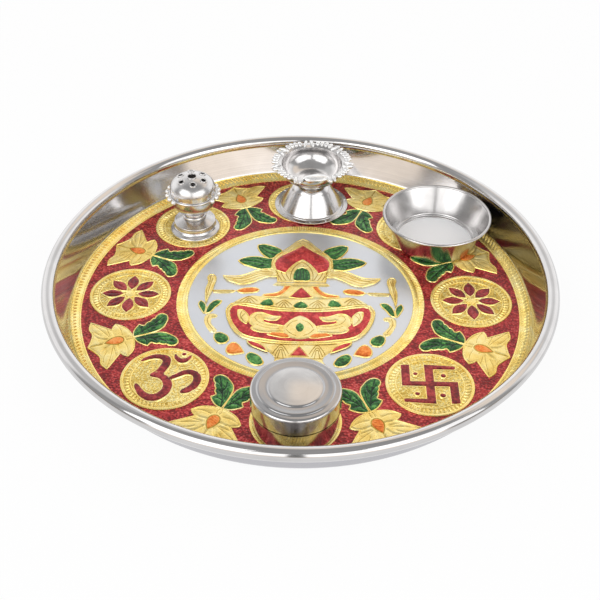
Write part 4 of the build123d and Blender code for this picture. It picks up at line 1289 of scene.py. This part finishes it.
# %% Lamp frill
spout_count, first_spout, spout_width = 7, 96.0, 0.12
spout_turns = [radians(first_spout + step * 360.0 / spout_count) for step in range(spout_count)]
front_leaf, leaf_width = radians(-82.0), 0.33


def apart(first, second):
    """The angle from one direction to another, from -pi to pi."""
    return atan2(sin(first - second), cos(first - second))


def frill_place(turn, share, drop=0.0):
    """The place on the frill at a turn and a share of the way out, in the tray's millimetres."""
    near = min((apart(turn, spout) for spout in spout_turns), key=abs)
    lobe = abs(sin(spout_count / 2 * (turn - spout_turns[0])))
    channel = exp(-(near / spout_width) ** 2)
    tall = exp(-(apart(turn, front_leaf) / leaf_width) ** 2)
    reach = (3.2 + 0.5 * lobe + 2.0 * channel) * (1 - 0.25 * tall)
    rise = 0.5 + 0.5 * lobe - 0.5 * channel + 0.5 * tall
    radius = dish_radius - 0.2 + share * reach
    height = dish_high + rise * share ** 1.3 + 0.35 * sin(pi * share) - 0.2
    return Vector((lamp[0] + radius * cos(turn), lamp[1] + radius * sin(turn), seat_top + height - drop))


def frill_mesh(turns=252, rows=7, thick=0.7):
    """The frill as a thin shell: its upper side, its lower side and the edges that join them."""
    work = bmesh.new()
    upper, lower = [[[work.verts.new(frill_place(2 * pi * step / turns, row / rows, drop) * MM)
                      for step in range(turns)] for row in range(rows + 1)] for drop in (0.0, thick)]
    loop = upper + lower[::-1] + upper[:1]
    for low, high in zip(loop, loop[1:]):
        for step in range(turns):
            after = (step + 1) % turns
            work.faces.new((low[step], high[step], high[after], low[after]))
    return as_mesh(work, outwards=False)


# %% Scallops, spouts and leaf of the frill
def oval(turn, share, size, splay=0.0, lift=0.0):
    """A smooth egg on the frill, with its half lengths outwards, along the edge and upwards."""
    place = Matrix.Translation(frill_place(turn, share, -lift)) @ Matrix.Rotation(turn + splay, 4, "Z")
    return egg(size, place, 14)


scallop_count, first_scallop, scallop_step = 4, 0.26, 0.125
scallop_turns = [spout + first_scallop + scallop_step * step for spout in spout_turns
                 for step in range(scallop_count)]
scallops = [oval(turn, 0.9, (2.2, 1.22, 1)) for turn in scallop_turns if abs(apart(turn, front_leaf)) > 0.3]
spouts = [oval(spout + side * 0.09, 0.72, (3.3, 1, 1.25), side * -0.3)
          for spout in spout_turns for side in (-1, 1)]
folded_leaf = [oval(front_leaf, 0.3, (2.9, 7.2, 1.2), lift=1.2), oval(front_leaf, 1.0, (1.3, 6.2, 0.9))]
frill_parts = [(frill_mesh(), steel["lamp"])]
frill_parts += [(mesh, silver) for mesh in (*scallops, *spouts, *folded_leaf)]
piece("lamp_frill_cast", "lamp", "lamp_frill", frill_parts, 60.0)

# %% Rivets
rivet_radius, head_radius, head_high = 1.5, 2.8, 0.8
for vessel, low, high in (("incense", 7.7, 13.6), ("lamp", 14.7, 17.9)):
    rivet_profile = rounded([(0, low - head_high, 0), (head_radius - 0.2, low - head_high + 0.1, 0.4),
                             (head_radius, low, 0.1), (rivet_radius, low, 0), (rivet_radius, high, 0),
                             (head_radius, high, 0.1), (head_radius - 0.3, high + head_high - 0.1, 0.4),
                             (0, high + head_high, 0)])
    steel_piece(f"{vessel}_rivet_round", vessel, f"{vessel}_rivet", turned(rivet_profile, vessel, 40, False))

# %% [markdown]
# ## Offering bowl and kumkum box
# Both are plain spinnings. The bowl has a rolled lip and a step round its floor. The box has a slip
# lid with a soft edge, a fine groove above its hem and two low steps on top, like the rings of a
# target. The groove and a ring round the bright middle are painted dark as shade, so the lid has a
# steel of its own.

# %% Offering bowl
bowl_outside = rounded([(0, 0, 0), (21.2, 0, 1.4), (27.7, 15.9, 0)], 6)
bowl_inside = rounded([(27.4, 16.2, 0), (21.7, 2.6, 0.5), (21, 2.2, 0.3), (20.6, 0.8, 0.5), (0, 0.7, 0)], 5)
bowl_profile = [*bowl_outside, *arc((28.4, 16.8), 0.8, -60, 200, 14), *bowl_inside]
steel_piece("offering_bowl_spun", "bowl", "offering_bowl", turned(bowl_profile, "bowl", 144, False))

# %% Kumkum box
body_profile = rounded([
    (0, 0, 0), (19.1, 0, 1.2), (19.1, 19.2, 0.4), (18.3, 20.8, 0.2), (17.7, 20.8, 0.2), (18.5, 19, 0.4),
    (18.5, 0.6, 1), (0, 0.6, 0)], 5)
steel_piece("kumkum_box_body", "box", "box_body", turned(body_profile, "box", 120, False))
seam_low, seam_high = 12.1, 12.6
lid_outside = [
    (19.4, 11.5, 0), (20, 11.5, 0.15), (20, seam_low, 0), (19.65, seam_low, 0), (19.65, seam_high, 0),
    (20, seam_high, 0), (20, 21.3, 2.6), (17.2, 21.4, 0.4), (16.7, 21.85, 0.35), (16, 21.95, 0.2),
    (14, 21.75, 0.8), (12.5, 21.75, 0.3), (11.9, 22.3, 0.35), (10.9, 22.38, 0.3), (8, 22.62, 1.5),
    (5, 22.79, 1.5), (2.5, 22.87, 1.2), (0, 22.9, 0)]
lid_inside = [
    (0, 22.3, 0), (8, 22.05, 1), (11.5, 21.75, 0.2), (12, 21.15, 0.2), (16.2, 21.2, 0.2), (16.8, 20.8, 0.2),
    (19.4, 20.7, 1.2)]
# The lid's steel has painted shade in the groove above its hem and on a ring round the middle.
lid_steel = spun_steel("spun_steel_lid", vessel_spots["box"], **vessel_looks["box"], painted_shade_ring=(11.6, 19.2),
                       painted_seam_shade=(seat_top + seam_low, seat_top + seam_high))
piece("kumkum_box_lid", "lid", "box_lid",
      [(turned(rounded(lid_outside + lid_inside, 6), "box", 144), lid_steel)])

# %% [markdown]
# ## Studio
# Steel looks like what it reflects. The real one seems to have stood before two broad white panels
# with the camera in the gap between them, under a grey ceiling and with a pale wall behind. The
# world gives that room by direction, while the background that the camera sees is plain white.

# %% World
world = bpy.data.worlds.new("studio")
world.use_nodes = True
scene.world = world
room = Finish(world.node_tree)
right, away, up = room.parts(room.node("ShaderNodeTexCoord", outputs=("Generated",)))
sideways = abs(right / ((right * right + away * away) ** 0.5))
front = room.between(-1 * away, 0.0, 0.1)
beside_gap = room.between(sideways, 0.045, 0.075)
below_top = 1 - room.between(up, 0.66, 0.74)
panel_height = room.between(up, -0.08, -0.02) * below_top
panels = front * panel_height * beside_gap * (1 - room.between(sideways, 0.80, 0.88))
gap = front * (1 - beside_gap) * below_top
backdrop = room.between(away, 0.0, 0.25) * (1 - room.between(up, 0.80, 0.88))
warm_panel = backdrop * room.between(up, 0.64, 0.68) * room.between(right, -0.08, -0.04)
backdrop_level = 0.88 - room.between(up, 0.46, 0.70) * 0.55
low_panels = front * (1 - room.between(up, 0.11, 0.17))
panel_level = 1.45 - low_panels * (0.68 - room.between(right, 0.0, 0.3) * 0.18)
level = 0.43 + panels * panel_level - gap * 0.18 + backdrop * backdrop_level + warm_panel * 0.4
tint = room.mix(warm_panel + low_panels, (1, 0.995, 0.99, 1), (1, 0.88, 0.76, 1))
seen = room.node("ShaderNodeLightPath", outputs=("Is Camera Ray",))
light = room.node("ShaderNodeBackground", None, {"Color": tint, "Strength": level})
plain = room.node("ShaderNodeBackground", None, {"Color": (1, 1, 1, 1), "Strength": 1.0})
shown_world = room.node("ShaderNodeMixShader", None, {0: seen, 1: light, 2: plain})
room.node("ShaderNodeOutputWorld", None, {"Surface": shown_world}, ())
print("world:", world.name)

# %% Floor
floor_material, paper_finish = new_finish("white_paper")
rays = paper_finish.node("ShaderNodeLightPath",
                         outputs=("Is Camera Ray", "Is Glossy Ray", "Is Transmission Ray"))
paper = paper_finish.node("ShaderNodeBsdfDiffuse", None, {"Color": (0.86, 0.86, 0.87, 1)})
glow = paper_finish.node("ShaderNodeEmission", None, {"Color": (1, 1, 1, 1), "Strength": 1.0})
glow_share = (rays[0] + rays[1] + rays[2]) * 0.93
shown_paper = paper_finish.node("ShaderNodeMixShader", None, {0: glow_share, 1: paper, 2: glow})
paper_finish.node("ShaderNodeOutputMaterial", None, {"Surface": shown_paper}, ())
floor_mesh = lathe([(0, 0), (3000, 0)], segments=64, closed=False)
floor_mesh.materials.append(floor_material)
floor = bpy.data.objects.new("floor", floor_mesh)
scene.collection.objects.link(floor)
print("floor faces:", len(floor_mesh.polygons))


# %% Lamps
def panel_lamp(name, place, size, power):
    """A square soft lamp that looks at the tray."""
    data = bpy.data.lights.new(name, "AREA")
    data.size = size
    data.energy = power
    lamp_object = bpy.data.objects.new(name, data)
    lamp_object.location = place
    lamp_object.rotation_euler = Vector(place).to_track_quat("Z", "Y").to_euler()
    scene.collection.objects.link(lamp_object)
    print(name, "watts:", power)


panel_lamp("left_lamp", (-0.85, -0.75, 0.95), 1.0, 5.0)
panel_lamp("right_lamp", (0.95, -0.65, 0.80), 0.9, 3.0)
